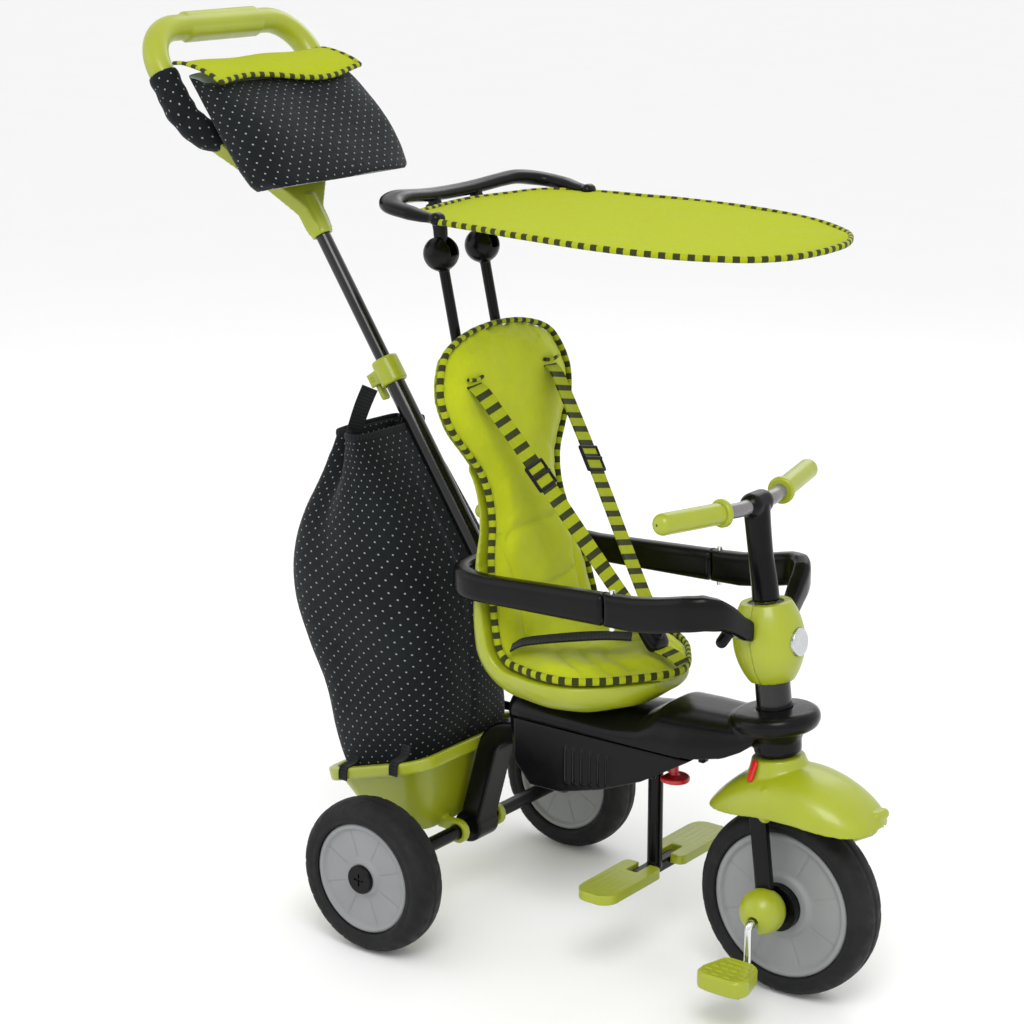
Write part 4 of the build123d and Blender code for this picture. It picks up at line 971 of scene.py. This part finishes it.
def bag_straps():
    """Two carrying handles up to the collar, and keepers that loop over the bin's rim."""
    first = None
    for side, word in SIDES:
        line = [world(x, side * y, z) for x, y, z in
                ((-573, 44, 538), (-571, 42, 552), (-566, 35, 577), (-560, 27, 600))]
        piece = bag_strap("bag_handle_" + word, line, Vector((0.6, 0.0, 1.0)), 19.0, 1.9)
        first = first or piece
        for place, x in (("front", -456), ("rear", -532)):
            rim = 178 + (x + 496) * 0.296
            drop = ((94, 17), (98, 6), (106, 2.6), (115, 2.2), (118.9, -2.5), (119.2, -13))
            keeper = [world(x, side * y, rim + rise) for y, rise in drop]
            bag_strap(f"bag_keeper_{word}_{place}", keeper, Vector((0, side * 0.5, 1)), 12.0, 1.6)
    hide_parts("bag_webbing")


# ---- handle pouch ------------------------------------------------------------------

LEAN = math.radians(33.4)
POLE_UP = Vector((-math.sin(LEAN), 0, math.cos(LEAN)))
POLE_OUT = Vector((math.cos(LEAN), 0, math.sin(LEAN)))
POLE_START = world(-658, 0, 775)


def by_handle(out, across, up):
    return POLE_START + POLE_OUT * out * MM + ACROSS * across * MM + POLE_UP * up * MM


# Pouch sections from its foot to its mouth, in mm: height up the handle at the rear and at the front, how
# far the front stands out, and half width.
POUCH_LEVELS = ((46, 20, 84, 114), (54, 26, 86, 122), (72, 48, 84, 127), (100, 82, 80, 129),
                (130, 116, 74, 129), (160, 144, 66, 128), (186, 160, 58, 126), (202, 168, 50, 124))
POUCH_REAR = 17
POUCH_POWER = 3.2


def handle_pouch():
    keys = np.array(POUCH_LEVELS, float)
    steps = np.linspace(0, len(keys) - 1, 70)
    curve = catmull([Vector(k[:3]) for k in keys], 10)
    marks = np.linspace(0, len(keys) - 1, len(curve))
    around = 96
    rows = []
    for step in steps:
        rear_up, front_up, front_out = (np.interp(step, marks, [p[axis] for p in curve]) for axis in range(3))
        half = np.interp(step, np.arange(len(keys)), keys[:, 3])
        row = []
        for k in range(around):
            angle = 2 * math.pi * k / around
            c, s, size = oval(angle, POUCH_POWER)
            share = (c * size + 1) / 2
            pinch = 3.5 * math.exp(-((abs(s * size) - 1) / 0.12) ** 2) * math.sin(math.pi * share)
            sag = 1.3 * math.sin(4 * angle + step * 1.1) + 1.1 * math.sin(7 * angle - step * 1.9)
            out = POUCH_REAR + (front_out - POUCH_REAR) * share
            up = rear_up + (front_up - rear_up) * share
            row.append(by_handle(out + sag * share, s * size * (half - pinch), up))
        rows.append(row)
    pouch = skin("handle_pouch_shell", rows, wrap_cols=True, capped=True)
    finish_piece(pouch, "push_pole", "dotted_fabric", ("handle_pouch",))
    for side, word in SIDES:
        pouch_sleeve(side, word)
    pouch_flap()


def pouch_sleeve(side, word):
    """Cloth sleeve that holds the pouch to one side of the handle's loop, round its lower corner."""
    line = [by_handle(0, side * 128, up) for up in (211, 200, 188, 176)]
    for degrees in range(8, 80, 8):
        turn = math.radians(degrees)
        line.append(by_handle(0, side * (76 + 52 * math.cos(turn)), 174 - 52 * math.sin(turn)))
    path = resample(line, 2.5 * MM)

    def section(share):
        wrinkle = 0.5 * math.sin(31 * share) + 0.4 * math.sin(17 * share + 1)
        return ring((17.3 + wrinkle - 0.9 * abs(2 * share - 1) ** 6) * MM, 40)

    sleeve = sweep("pouch_sleeve_" + word, path, section, POLE_OUT)
    finish_piece(sleeve, "push_pole", "dotted_fabric")


def flap_point(share, across, out):
    """Flap over the pouch's mouth: from behind the handle bar, forward and down over the front."""
    place, ahead, back = ([np.interp(at, FLAP_LINE[0], values) for values in FLAP_LINE[1:]]
                          for at in (share, min(share + 0.02, 1), max(share - 0.02, 0)))
    run = Vector((ahead[0] - back[0], ahead[1] - back[1])).normalized()
    return by_handle(place[0] + run.y * -out, across, place[1] + run.x * out)


def flap_line():
    """Share along the flap's side view, how far out it stands and its height up the handle."""
    keys = ((17, 214), (30, 206), (50, 186), (64, 166), (74, 140), (81, 112))
    points = catmull([Vector((out, up, 0)) for out, up in keys], 12)
    even = resample(points, 2)
    share = np.linspace(0, 1, len(even))
    return share, np.array([p.x for p in even]), np.array([p.y for p in even])


FLAP_LINE = flap_line()
FLAP_HALF = 122.0
FLAP_COLUMNS = 64


def flap_reach(across):
    """Share of the flap's line that its wavy edge reaches at a distance across, in mm."""
    return 0.6 + 0.07 * math.sin(across / FLAP_HALF * math.pi * 1.1 + 0.4)


def pouch_flap():
    steps = 34
    places = [FLAP_HALF * (2 * m / FLAP_COLUMNS - 1) for m in range(FLAP_COLUMNS + 1)]
    rows = []
    for k in range(steps + 1):
        row = []
        for across in places:
            share = flap_reach(across) * k / steps
            row.append(flap_point(share, across, 1.6 + 0.8 * math.sin(across * 0.06 + share * 5)))
        back = [flap_point(flap_reach(across) * k / steps, across, 0.2) for across in reversed(places)]
        rows.append(row + back)
    flap = skin("pouch_flap", rows, wrap_cols=True, capped=True)
    finish_piece(flap, "push_pole", "lime_fabric", (), "canopy_cloth")
    edge = [flap_point(flap_reach(-FLAP_HALF) * k / 20, -FLAP_HALF, 1.4) for k in range(20)]
    edge += [flap_point(flap_reach(across), across, 1.4) for across in places]
    edge += [flap_point(flap_reach(FLAP_HALF) * k / 20, FLAP_HALF, 1.4) for k in range(19, -1, -1)]
    tape = rounded(3.2 * MM, 2.2 * MM, 2.4, 12)
    trim = sweep("pouch_flap_binding", resample(edge, 3 * MM), lambda share: tape, POLE_OUT)
    finish_piece(trim, "push_pole", "lime_fabric", (), "binding")


# ---- moulded pieces made from smooth sections --------------------------------------

def fused(name, parts, voxel, passes, body, slot, replaced):
    """One moulding from overlapping closed pieces: joined on a voxel grid, then its edges are softened."""
    mesh = bpy.data.meshes.new(name)
    build = bmesh.new()
    for part in parts:
        build.from_mesh(part.data)
        bpy.data.objects.remove(part)
    bmesh.ops.recalc_face_normals(build, faces=build.faces)
    build.to_mesh(mesh)
    build.free()
    obj = link_mesh(name, mesh)
    soften(obj, voxel, passes)
    return finish_piece(obj, body, slot, (replaced,))


def column_point(height):
    """Point of the steering axis at a height above the ground, in mm."""
    return AXLE + COLUMN * ((height * MM - AXLE.z) / COLUMN.z)


def spun(name, profile, height):
    """Closed turned piece about the steering column; profile lists (radius, height) in mm."""
    base = column_point(height)
    points = [(r * MM, (z - height) * MM / COLUMN.z) for r, z in profile]
    return lathe(name, points + points[:1], base, COLUMN, Vector((1, 0, 0)), 64)


def tube_along(name, points, section, reference):
    return sweep(name, resample(catmull(points, 8), 2.0 * MM), section, reference)


def pill(name, start, end, radius, sides=20):
    """Rod with domed ends."""
    path = [start + (end - start) * k / 8 for k in range(9)]
    axis = (end - start).normalized()
    ends = [(0.25, 0.97), (0.55, 0.84), (0.8, 0.6), (0.95, 0.31), (1.0, 0.05)]
    front = [(end + axis * radius * a, b) for a, b in ends]
    back = [(start - axis * radius * a, b) for a, b in reversed(ends)]
    places = back + [(p, 1.0) for p in path] + front
    reference = Vector((0, 0, 1)) if abs(axis.z) < 0.9 else Vector((1, 0, 0))
    up = (reference - axis * reference.dot(axis)).normalized()
    side = axis.cross(up)
    rounds = [side * c + up * s for c, s in ring(1.0, sides)]
    rows = [[p + out * radius * b for out in rounds] for p, b in places]
    return skin(name, rows, wrap_cols=True, capped=True)


def arch_rows(stations, wall, exponent, steps=28):
    """Closed loops of an arched shell. A station is (x, half width, crown height, skirt height) in mm."""
    rows = []
    for x, half, crown, skirt in stations:
        outer = []
        inner = []
        for k in range(steps + 1):
            across, up = arch(math.pi * k / steps, exponent)
            outer.append(world(x, half * across, skirt + (crown - skirt) * up))
            tall = max(crown - wall - skirt, 0.2)
            inner.append(world(x, max(half - wall, 0.5) * across, skirt - 0.5 + tall * up))
        rows.append(outer + inner[::-1])
    return rows


# Side views of the fender, in mm: distance ahead of the axle, and height.
FENDER_CROWN = ((-94, 203), (-88, 211), (-78, 223), (-60, 239), (-38, 251), (-12, 258), (14, 260), (38, 256),
                (60, 248), (80, 237), (96, 225), (105, 214))
FENDER_SKIRT = ((-94, 201), (-50, 207), (-8, 214), (30, 214), (66, 210), (90, 208), (105, 210))
# Turned profiles about the steering column, in mm: radius, and height.
NECK_PROFILE = ((13.2, 240), (22, 240), (40, 243), (34.5, 250), (31.5, 256), (29.6, 262), (28.2, 266.2),
                (13.2, 266.2))
NOSE_PROFILE = ((19.3, 294), (40, 294.5), (45.5, 298), (48.4, 304), (48.6, 309), (46.5, 314), (41, 317.5),
                (19.3, 319))
BOSS_PROFILE = ((19.3, 269.6), (25.4, 269.6), (26.5, 284), (33, 296), (19.3, 298))


def front_fender():
    crown = catmull([world(x, 0, z) for x, z in FENDER_CROWN], 6)
    xs = np.array([(p.x - AXLE.x) / MM for p in crown])
    zs = np.array([p.z / MM for p in crown])
    stations = []
    for x in np.concatenate([np.linspace(-94, -84, 8), np.linspace(-80, 90, 60), np.linspace(92, 105, 10)]):
        share = min(abs((x - 5.5) / 99.6), 0.998)
        half = 55.5 * (1 - share ** 2.7) ** (1 / 2.7)
        skirt = table(FENDER_SKIRT, x, 1)
        stations.append((x, max(half, 4), max(np.interp(x, xs, zs), skirt + 2.5), skirt))
    hood = skin("hood", arch_rows(stations, 3.2, 2 / 2.25), wrap_cols=True, capped=True)
    neck = spun("neck", NECK_PROFILE, 250)
    ridges = [pill("nub", world(97, 6, 221), world(98, 20, 221), 6.2 * MM)]
    for side, _ in SIDES:
        ridges.append(pill("ridge", world(-6, side * 47, 214), world(-8, side * 41, 238), 7.5 * MM))
    fused("front_fender_hood", [hood, neck, *ridges], 1.25, 9, "steering", LIME, "front_fender")


def release_tab():
    """Red push tab: a D-shaped plate close under the pan, on a stem that goes up inside."""
    rows = []
    for height, inset in ((205.6, 2.2), (206.4, 0.8), (207.6, 0.1), (210.4, 0.1), (211.6, 0.8), (212.4, 2.2)):
        reach = 17.5 - inset
        row = []
        for k in range(48):
            angle = 2 * math.pi * k / 48
            ahead = max(reach * math.cos(angle), -12 + inset)
            row.append(world(-151 + ahead, reach * 0.92 * math.sin(angle), height))
        rows.append(row)
    plate = skin("plate", rows, wrap_cols=True, capped=True)
    stem = pill("stem", world(-152.5, 0, 209), world(-152.5, 0, 240), 5.6 * MM)
    fused("footrest_release_tab", [plate, stem], 0.8, 2, "footrest_lever", "red_plastic", "footrest_lever")


# Front half of a pedal's rim, in mm: ahead of its pin, and out from the middle.
PEDAL_EDGE = ((12, 96), (19, 100), (27, 128), (24, 141), (12, 144))


def pedal_tread(side, word):
    """Pedal with a raised rim and rows of grip studs on both faces."""
    node = "pedal_" + word
    parts = [link_mesh(node + "_block", frame["nodes"][node].data.copy())]
    height = 105 + side * 47
    for face in (-1, 1):
        top = height + face * 8.6
        for y in (102, 111, 120, 129, 138):
            spread = 10 + (y - 100) * 0.36
            for step in (-1, -0.34, 0.34, 1):
                x = step * spread * (0.86 if y == 138 else 1)
                ends = [world(x + reach, side * y, top) for reach in (-2.6, 2.6)]
                parts.append(pill("stud", *ends, 1.7 * MM, 10))
        loop = PEDAL_EDGE + tuple((-x, y) for x, y in reversed(PEDAL_EDGE))
        for start, end in zip(loop, loop[1:] + loop[:1]):
            ends = [world(x, side * y, top) for x, y in (start, end)]
            parts.append(pill("rim", *ends, 1.5 * MM, 10))
    fused(node + "_tread", parts, 0.8, 1, node, LIME, node)


def canopy_bracket():
    """Glossy bar round the shade's rear edge, with humps, round bosses at its tips and two stubs."""
    half_path = ((74, 137, 1), (58, 139, 1.5), (38, 140, 4), (16, 137, 6.5), (2, 124, 9), (-5, 104, 11),
                 (-9, 80, 9.5), (-13, 50, 6.5), (-15, 24, 5), (-15.5, 0, 4.6))
    left = [SHADE_START + SHADE_X * a * MM + ACROSS * b * MM + SHADE_UP * c * MM for a, b, c in half_path]
    right = [Vector((p.x, -p.y, p.z)) for p in reversed(left[:-1])]

    def section(share):
        inward = 1 - abs(2 * share - 1)
        grow = 0.62 + 0.38 * min(1, inward / 0.16)
        swell = 1 + 0.16 * math.exp(-((inward - 0.4) / 0.12) ** 2)
        return rounded(11.5 * grow * swell * MM, 7.2 * grow * swell * MM, 2.5, 24)

    def stub_section(share):
        return rounded(5.3 * MM, (7 + 3 * share) * MM, 4, 20)

    ahead = Vector((1, 0, 0))
    washer = in_metres([(2.6, -5.3), (12.6, -5.3), (12.6, 5.3), (2.6, 5.3), (2.6, -5.3)])
    parts = [tube_along("bar", left + right, section, SHADE_UP)]
    for side, _ in SIDES:
        tip = SHADE_START + SHADE_X * 75 * MM + ACROSS * side * 137 * MM + SHADE_UP * 1 * MM
        parts.append(pill("boss", tip - ACROSS * 3 * MM, tip + ACROSS * 3 * MM, 7 * MM))
        y = side * 37
        stub = [world(-446, y, 772), world(-447, y, 795), world(-451, y, 812), world(-457, y, 824)]
        parts.append(tube_along("stub", stub, stub_section, ahead))
        parts.append(pill("eye", world(-446, y - 1.2, 768), world(-446, y + 1.2, 768), 4.0 * MM))
        parts.append(lathe("ear", washer, world(-446, y, 768), ACROSS, ahead, 40))
    fused("canopy_bracket_bar", parts, 1.2, 5, "canopy", BLACK, "canopy_bracket")


def body_sections(stations, exponent, steps=24):
    """Closed loops across the body, flat underneath. A station is (x, half width, top, base) in mm."""
    rows = []
    for x, half, top, base in stations:
        row = []
        for k in range(steps + 1):
            across, up = arch(math.pi * k / steps, exponent)
            row.append(world(x, half * across, base + (top - base) * up))
        rows.append(row + [world(x, -half * 0.9, base), world(x, half * 0.9, base)])
    return rows


# Deck of the body, in mm: distance ahead of the axle, half width, top and base.
DECK = ((-345, 46, 283, 258.6), (-341, 53, 284, 258.6), (-334, 58, 284.5, 258.6), (-322, 60, 284.5, 258.6),
        (-200, 60, 284.5, 258.6), (-168, 60, 290, 258.6), (-146, 60, 305, 258.6), (-112, 60, 306, 258.8),
        (-95, 58.5, 306, 260), (-60, 52.5, 306.5, 267), (-40, 48.5, 308, 277), (-26, 46, 310, 288))


def body_upper():
    stations = [(x, *(table(DECK, x, column) for column in (1, 2, 3))) for x in np.linspace(-345, -26, 90)]
    shell = skin("shell", body_sections(stations, 2 / 2.9), wrap_cols=True, capped=True)
    nose = spun("nose", NOSE_PROFILE, 300)
    boss = spun("boss", BOSS_PROFILE, 280)
    fused("body_upper_moulding", [shell, nose, boss], 1.7, 7, "frame", BLACK, "body_upper_shell")


# Tub behind the pad, in mm: distance down the pad, depth of the belly, and how far the rim stands out.
TUB = ((0, 7, 4), (150, 8, 5), (225, 11, 9), (270, 19, 13), (315, 30, 14), (350, 38, 12), (380, 43, 9),
       (420, 44, 7), (460, 41, 4), (500, 30, 2), (522, 14, 1))
# Gap between the ribbon of the pad and the tub's inner face, in mm.
TUB_GAP = 8.6


def seat_tub(ribbon, outline):
    """Bucket behind and below the pad: a rim that stands out round it and a belly that fades up the back."""
    data = np.array(outline)
    rows = []
    for along in np.concatenate([np.linspace(6, 210, 50), np.linspace(214, 524, 90)]):
        half = np.interp(along * MM, data[:, 0], data[:, 1]) / MM
        depth = table(TUB, along, 1)
        rim = table(TUB, along, 2) - (6 if along < 150 else 0)
        if along < 24:
            half *= 0.97
        wide = max(half + rim, 6)
        row = []
        for k in range(41):
            across, down = arch(math.pi * k / 40, 0.82)
            row.append(ribbon.at(along * MM, wide * across * MM, -(TUB_GAP + depth * down) * MM))
        top = -TUB_GAP + (2.5 if along > 260 else 0)
        row += [ribbon.at(along * MM, side * 0.985 * MM, top * MM) for side in (-wide, wide)]
        rows.append(row)
    tub = skin("tub", rows, wrap_cols=True, capped=True)
    clips = []
    for v in (200, 320):
        place = BACK_FOOT + BACK_UP * v * MM - BACK_OUT * 30 * MM
        clips.append(pill("clip", place - ACROSS * 52 * MM, place + ACROSS * 52 * MM, 9 * MM))
    shell = fused("seat_tub", [tub, *clips], 1.9, 5, "frame", LIME, "seat_shell")
    pole_groove(shell)


def pole_groove(obj):
    """Presses a groove for the pole's sleeve into the back of a piece."""
    radius = 12.6 * MM
    points = read_points(obj)
    out = (points - np.array(POLE_START)) @ np.array(POLE_OUT)
    wall = np.sqrt(np.maximum(radius ** 2 - points[:, 1] ** 2, 0))
    push = np.where((np.abs(points[:, 1]) < radius) & (out < wall), wall - out, 0)
    points += push[:, None] * np.array(POLE_OUT)[None, :]
    write_points(obj, points)


# ---- safety bar --------------------------------------------------------------------

HINGE = (-165.0, 105.0)


def bar_loop(point, tangent, low, high, half=10.0):
    """Rounded upright section of the safety bar at a plan point in mm."""
    side = Vector((-tangent.y, tangent.x, 0)).normalized()
    middle = (low + high) / 2
    return [world(point.x + side.x * a, point.y + side.y * a, middle + b)
            for a, b in rounded(half, (high - low) / 2, 4.2)]


def plan_path(points, corner):
    """Plan polyline in mm with rounded corners, in even steps."""
    made = [Vector((*points[0], 0))]
    for before, here, after in zip(points, points[1:], points[2:]):
        here = Vector((*here, 0))
        back = (Vector((*before, 0)) - here).normalized()
        ahead = (Vector((*after, 0)) - here).normalized()
        half_turn = (math.pi - back.angle(ahead)) / 2
        reach = corner * math.tan(half_turn)
        start, end = here + back * reach, here + ahead * reach
        for k in range(13):
            t = k / 12
            made.append(start * (1 - t) ** 2 + here * 2 * t * (1 - t) + end * t * t)
    made.append(Vector((*points[-1], 0)))
    return resample(made, 3.0)


def closing_rows(last):
    """A section and the shrinking ones after it, so that a curved end closes cleanly."""
    middle = sum(p.z for p in last) / len(last)
    return [last] + [[Vector((p.x, p.y, middle + (p.z - middle) * share)) for p in last]
                     for share in (0.66, 0.33, 0.04)]


def end_ring(loop, side, radius):
    """Moves a section's points along x onto the round wall about the hinge pin."""
    made = []
    pin = world(HINGE[0], side * HINGE[1], 0)
    for p in loop:
        off = min(abs(p.y - pin.y), radius * MM)
        made.append(Vector((pin.x - math.sqrt((radius * MM) ** 2 - off ** 2), p.y, p.z)))
    return made


def path_tangent(path, k):
    return path[min(k + 1, len(path) - 1)] - path[max(k - 1, 0)]


# Heights of the hoop's foot and top, in mm, at distances ahead of the axle.
HOOP_HEIGHTS = ((-400, 403, 437), (-330, 404, 435), (-165, 408, 444))


def hoop_heights(x):
    return table(HOOP_HEIGHTS, x, 1), table(HOOP_HEIGHTS, x, 2)


def safety_bar():
    y = HINGE[1]
    path = plan_path([(HINGE[0] - 14, -y), (-386, -y), (-386, y), (HINGE[0] - 14, y)], 46)
    rows = [bar_loop(point, path_tangent(path, k), *hoop_heights(point.x)) for k, point in enumerate(path)]
    ends = []
    for side, near in ((-1, rows[0]), (1, rows[-1])):
        flat = bar_loop(Vector((HINGE[0], side * y, 0)), Vector((side, 0, 0)), *hoop_heights(HINGE[0]))
        ends.append(closing_rows(align(near, end_ring(flat, side, 11.5))))
    hoop = skin("safety_bar_hoop_rail", ends[0][::-1] + rows + ends[1], wrap_cols=True, capped=True)
    finish_piece(hoop, "frame", BLACK, ("safety_bar_hoop",))
    for side, word in SIDES:
        safety_arm(side, word)


def align(like, loop):
    """Same loop, started and turned so that its points lie nearest to those of the other loop."""
    best = None
    for turned in (loop, loop[::-1]):
        for shift in range(len(loop)):
            moved = turned[shift:] + turned[:shift]
            gap = sum((a - b).length_squared for a, b in zip(like, moved))
            if best is None or gap < best[0]:
                best = (gap, moved)
    return best[1]


# Heights of an arm's foot and top, in mm, at shares of its length.
ARM_HEIGHTS = ((0.0, 408, 444), (0.16, 408.5, 446), (0.34, 413, 451), (0.52, 420, 458), (0.64, 423, 460),
               (0.74, 421, 455), (0.84, 413, 444), (0.93, 404, 431), (1.0, 400, 424))


def safety_arm(side, word):
    points = [(HINGE[0] + 2, side * HINGE[1]), (-50, side * HINGE[1]), (-37, side * 39)]
    path = plan_path(points, 40)
    rows = []
    for k, point in enumerate(path):
        share = k / (len(path) - 1)
        low, high = (table(ARM_HEIGHTS, share, column) for column in (1, 2))
        rows.append(bar_loop(point, path_tangent(path, k), low, high, 10.0 - 1.5 * max(0, share - 0.8) / 0.2))
    rows = closing_rows(end_ring(rows[0], side, 10.0))[::-1] + rows
    arm = skin("arm", rows, wrap_cols=True, capped=True)
    latch = pill("latch", world(-51, side * 69, 404), world(-47, side * 62, 414), 6.5 * MM)
    node = "safety_arm_" + word
    fused(node + "_rail", [arm, latch], 1.1, 3, node, BLACK, node)


# ---- stem --------------------------------------------------------------------------

def handlebar_stem():
    points = [column_point(435), column_point(455), column_point(480) + Vector((-1.5, 0, 0)) * MM,
              column_point(505) + Vector((-2, 0, 0)) * MM, world(-54, 0, 526), world(-55, 0, 537)]
    radii = ((0, 14.8), (0.25, 14.2), (0.5, 13.4), (0.75, 13.8), (1, 14.5))

    def section(share):
        return ring(table(radii, share, 1) * MM, 28)

    post = tube_along("post", points, section, Vector((1, 0, 0)))
    saddle = pill("saddle", world(-55, -9, 538), world(-55, 9, 538), 13.5 * MM)
    fused("handlebar_stem_post", [post, saddle], 1.2, 6, "steering", BLACK, "handlebar_stem")


# ---- wheels ------------------------------------------------------------------------

# How far a disc's face is sunk below its lip, in mm, how many seams cross it, and a tyre's lugs each side.
RIM_SUNK = 4.0
RIM_SEAMS = 8
TYRE_LUGS = 26


def wheel_rim(node, body, centre, radius, half, hub, bore, lip):
    """Disc centre with a raised lip, a sunk face crossed by radial seams, and a raised ring round the hub."""
    floor = half - RIM_SUNK
    face = [(bore, half), (hub - 1, half), (hub + 1.2, half - 0.4), (hub + 3, half - RIM_SUNK * 0.8),
            (hub + 5, floor)]
    face += [(hub + 5 + (radius - lip - hub - 7) * k / 8, floor) for k in range(1, 9)]
    face += [(radius - lip - 1, floor + 0.4), (radius - lip + 0.6, half - 1.0),
             (radius - lip + 2.2, half - 0.2), (radius - 3, half), (radius - 2.0, half - 0.6),
             (radius - 0.4, half - 1.6)]
    profile = [(r, -s) for r, s in face] + [(r, s) for r, s in reversed(face)] + [(bore, -half)]
    start = Vector((1, 0, 0.35))

    def wiggle(angle, r, shift):
        within = hub + 6 < r / MM < radius - lip - 0.5
        gap = abs((angle * RIM_SEAMS / (2 * math.pi) + 0.5) % 1 - 0.5) * 26
        if within and gap < 0.6:
            return r, shift - math.copysign(1.1 * MM, shift)
        return r, shift

    rim = lathe(node + "_disc", in_metres(profile), centre, ACROSS, start, RIM_SEAMS * 26, wiggle)
    finish_piece(rim, body, "grey_plastic", (node,))


def wheel_tyre(node, body, centre, radius, rim, half):
    """Foam tyre: bulged side walls, a rounded tread and shallow angled lugs on both shoulders."""
    face = [(rim + 0.2, half - 4), (rim + 0.6, half - 1.6), (rim + 2.5, half - 0.3), (rim + 6, half),
            (rim + 6.8, half - 0.5), (rim + 7.8, half - 0.1), (radius - 11, half - 0.2),
            (radius - 8, half - 1.4), (radius - 5.2, half - 3.8), (radius - 3.0, half - 7),
            (radius - 1.6, half - 10.5), (radius - 0.7, half - 14.5), (radius - 0.25, half - 18),
            (radius, 2.4), (radius - 0.7, 1.2), (radius - 0.7, 0.4)]
    profile = face + [(r, -s) for r, s in reversed(face)]

    def wiggle(angle, r, shift):
        reach = r / MM - (radius - 10)
        side = 1 if shift > 0 else -1
        if reach <= 0 or abs(shift) < 5 * MM:
            return r, shift
        turn = angle + abs(shift) / MM * 0.012 + (0 if side > 0 else math.pi / TYRE_LUGS)
        phase = turn * TYRE_LUGS / (2 * math.pi) % 1
        cut = max(0, 1 - abs(phase - 0.5) / 0.13) * min(1, reach / 3) * min(1, (abs(shift) / MM - 5) / 4)
        return r - 1.15 * MM * cut, shift - side * 0.5 * MM * cut

    tyre = lathe(node + "_foam", in_metres(profile), centre, ACROSS, Vector((1, 0, 0)), 312, wiggle)
    finish_piece(tyre, body, "tyre_rubber", (node,))


def wheels():
    wheel_rim("front_rim", "front_wheel", world(0, 0, 105), 82, 22, 33, 26, 8.0)
    wheel_tyre("front_tyre", "front_wheel", world(0, 0, 105), 105, 82, 24)
    for side, word in SIDES:
        centre = world(-428, side * 190, 89)
        wheel_rim("rear_rim_" + word, "rear_wheel_" + word, centre, 64, 20, 19, 16.7, 7.0)
        wheel_tyre("rear_tyre_" + word, "rear_wheel_" + word, centre, 89, 64, 23)


rigid_pieces()
ribbon, outline = seat_pad()
seat_tub(ribbon, outline)
front_fender()
release_tab()
for side, word in SIDES:
    pedal_tread(side, word)
canopy_bracket()
body_upper()
safety_bar()
handlebar_stem()
wheels()
harness()
sunshade()
storage_bag()
bag_straps()
handle_pouch()
studio()
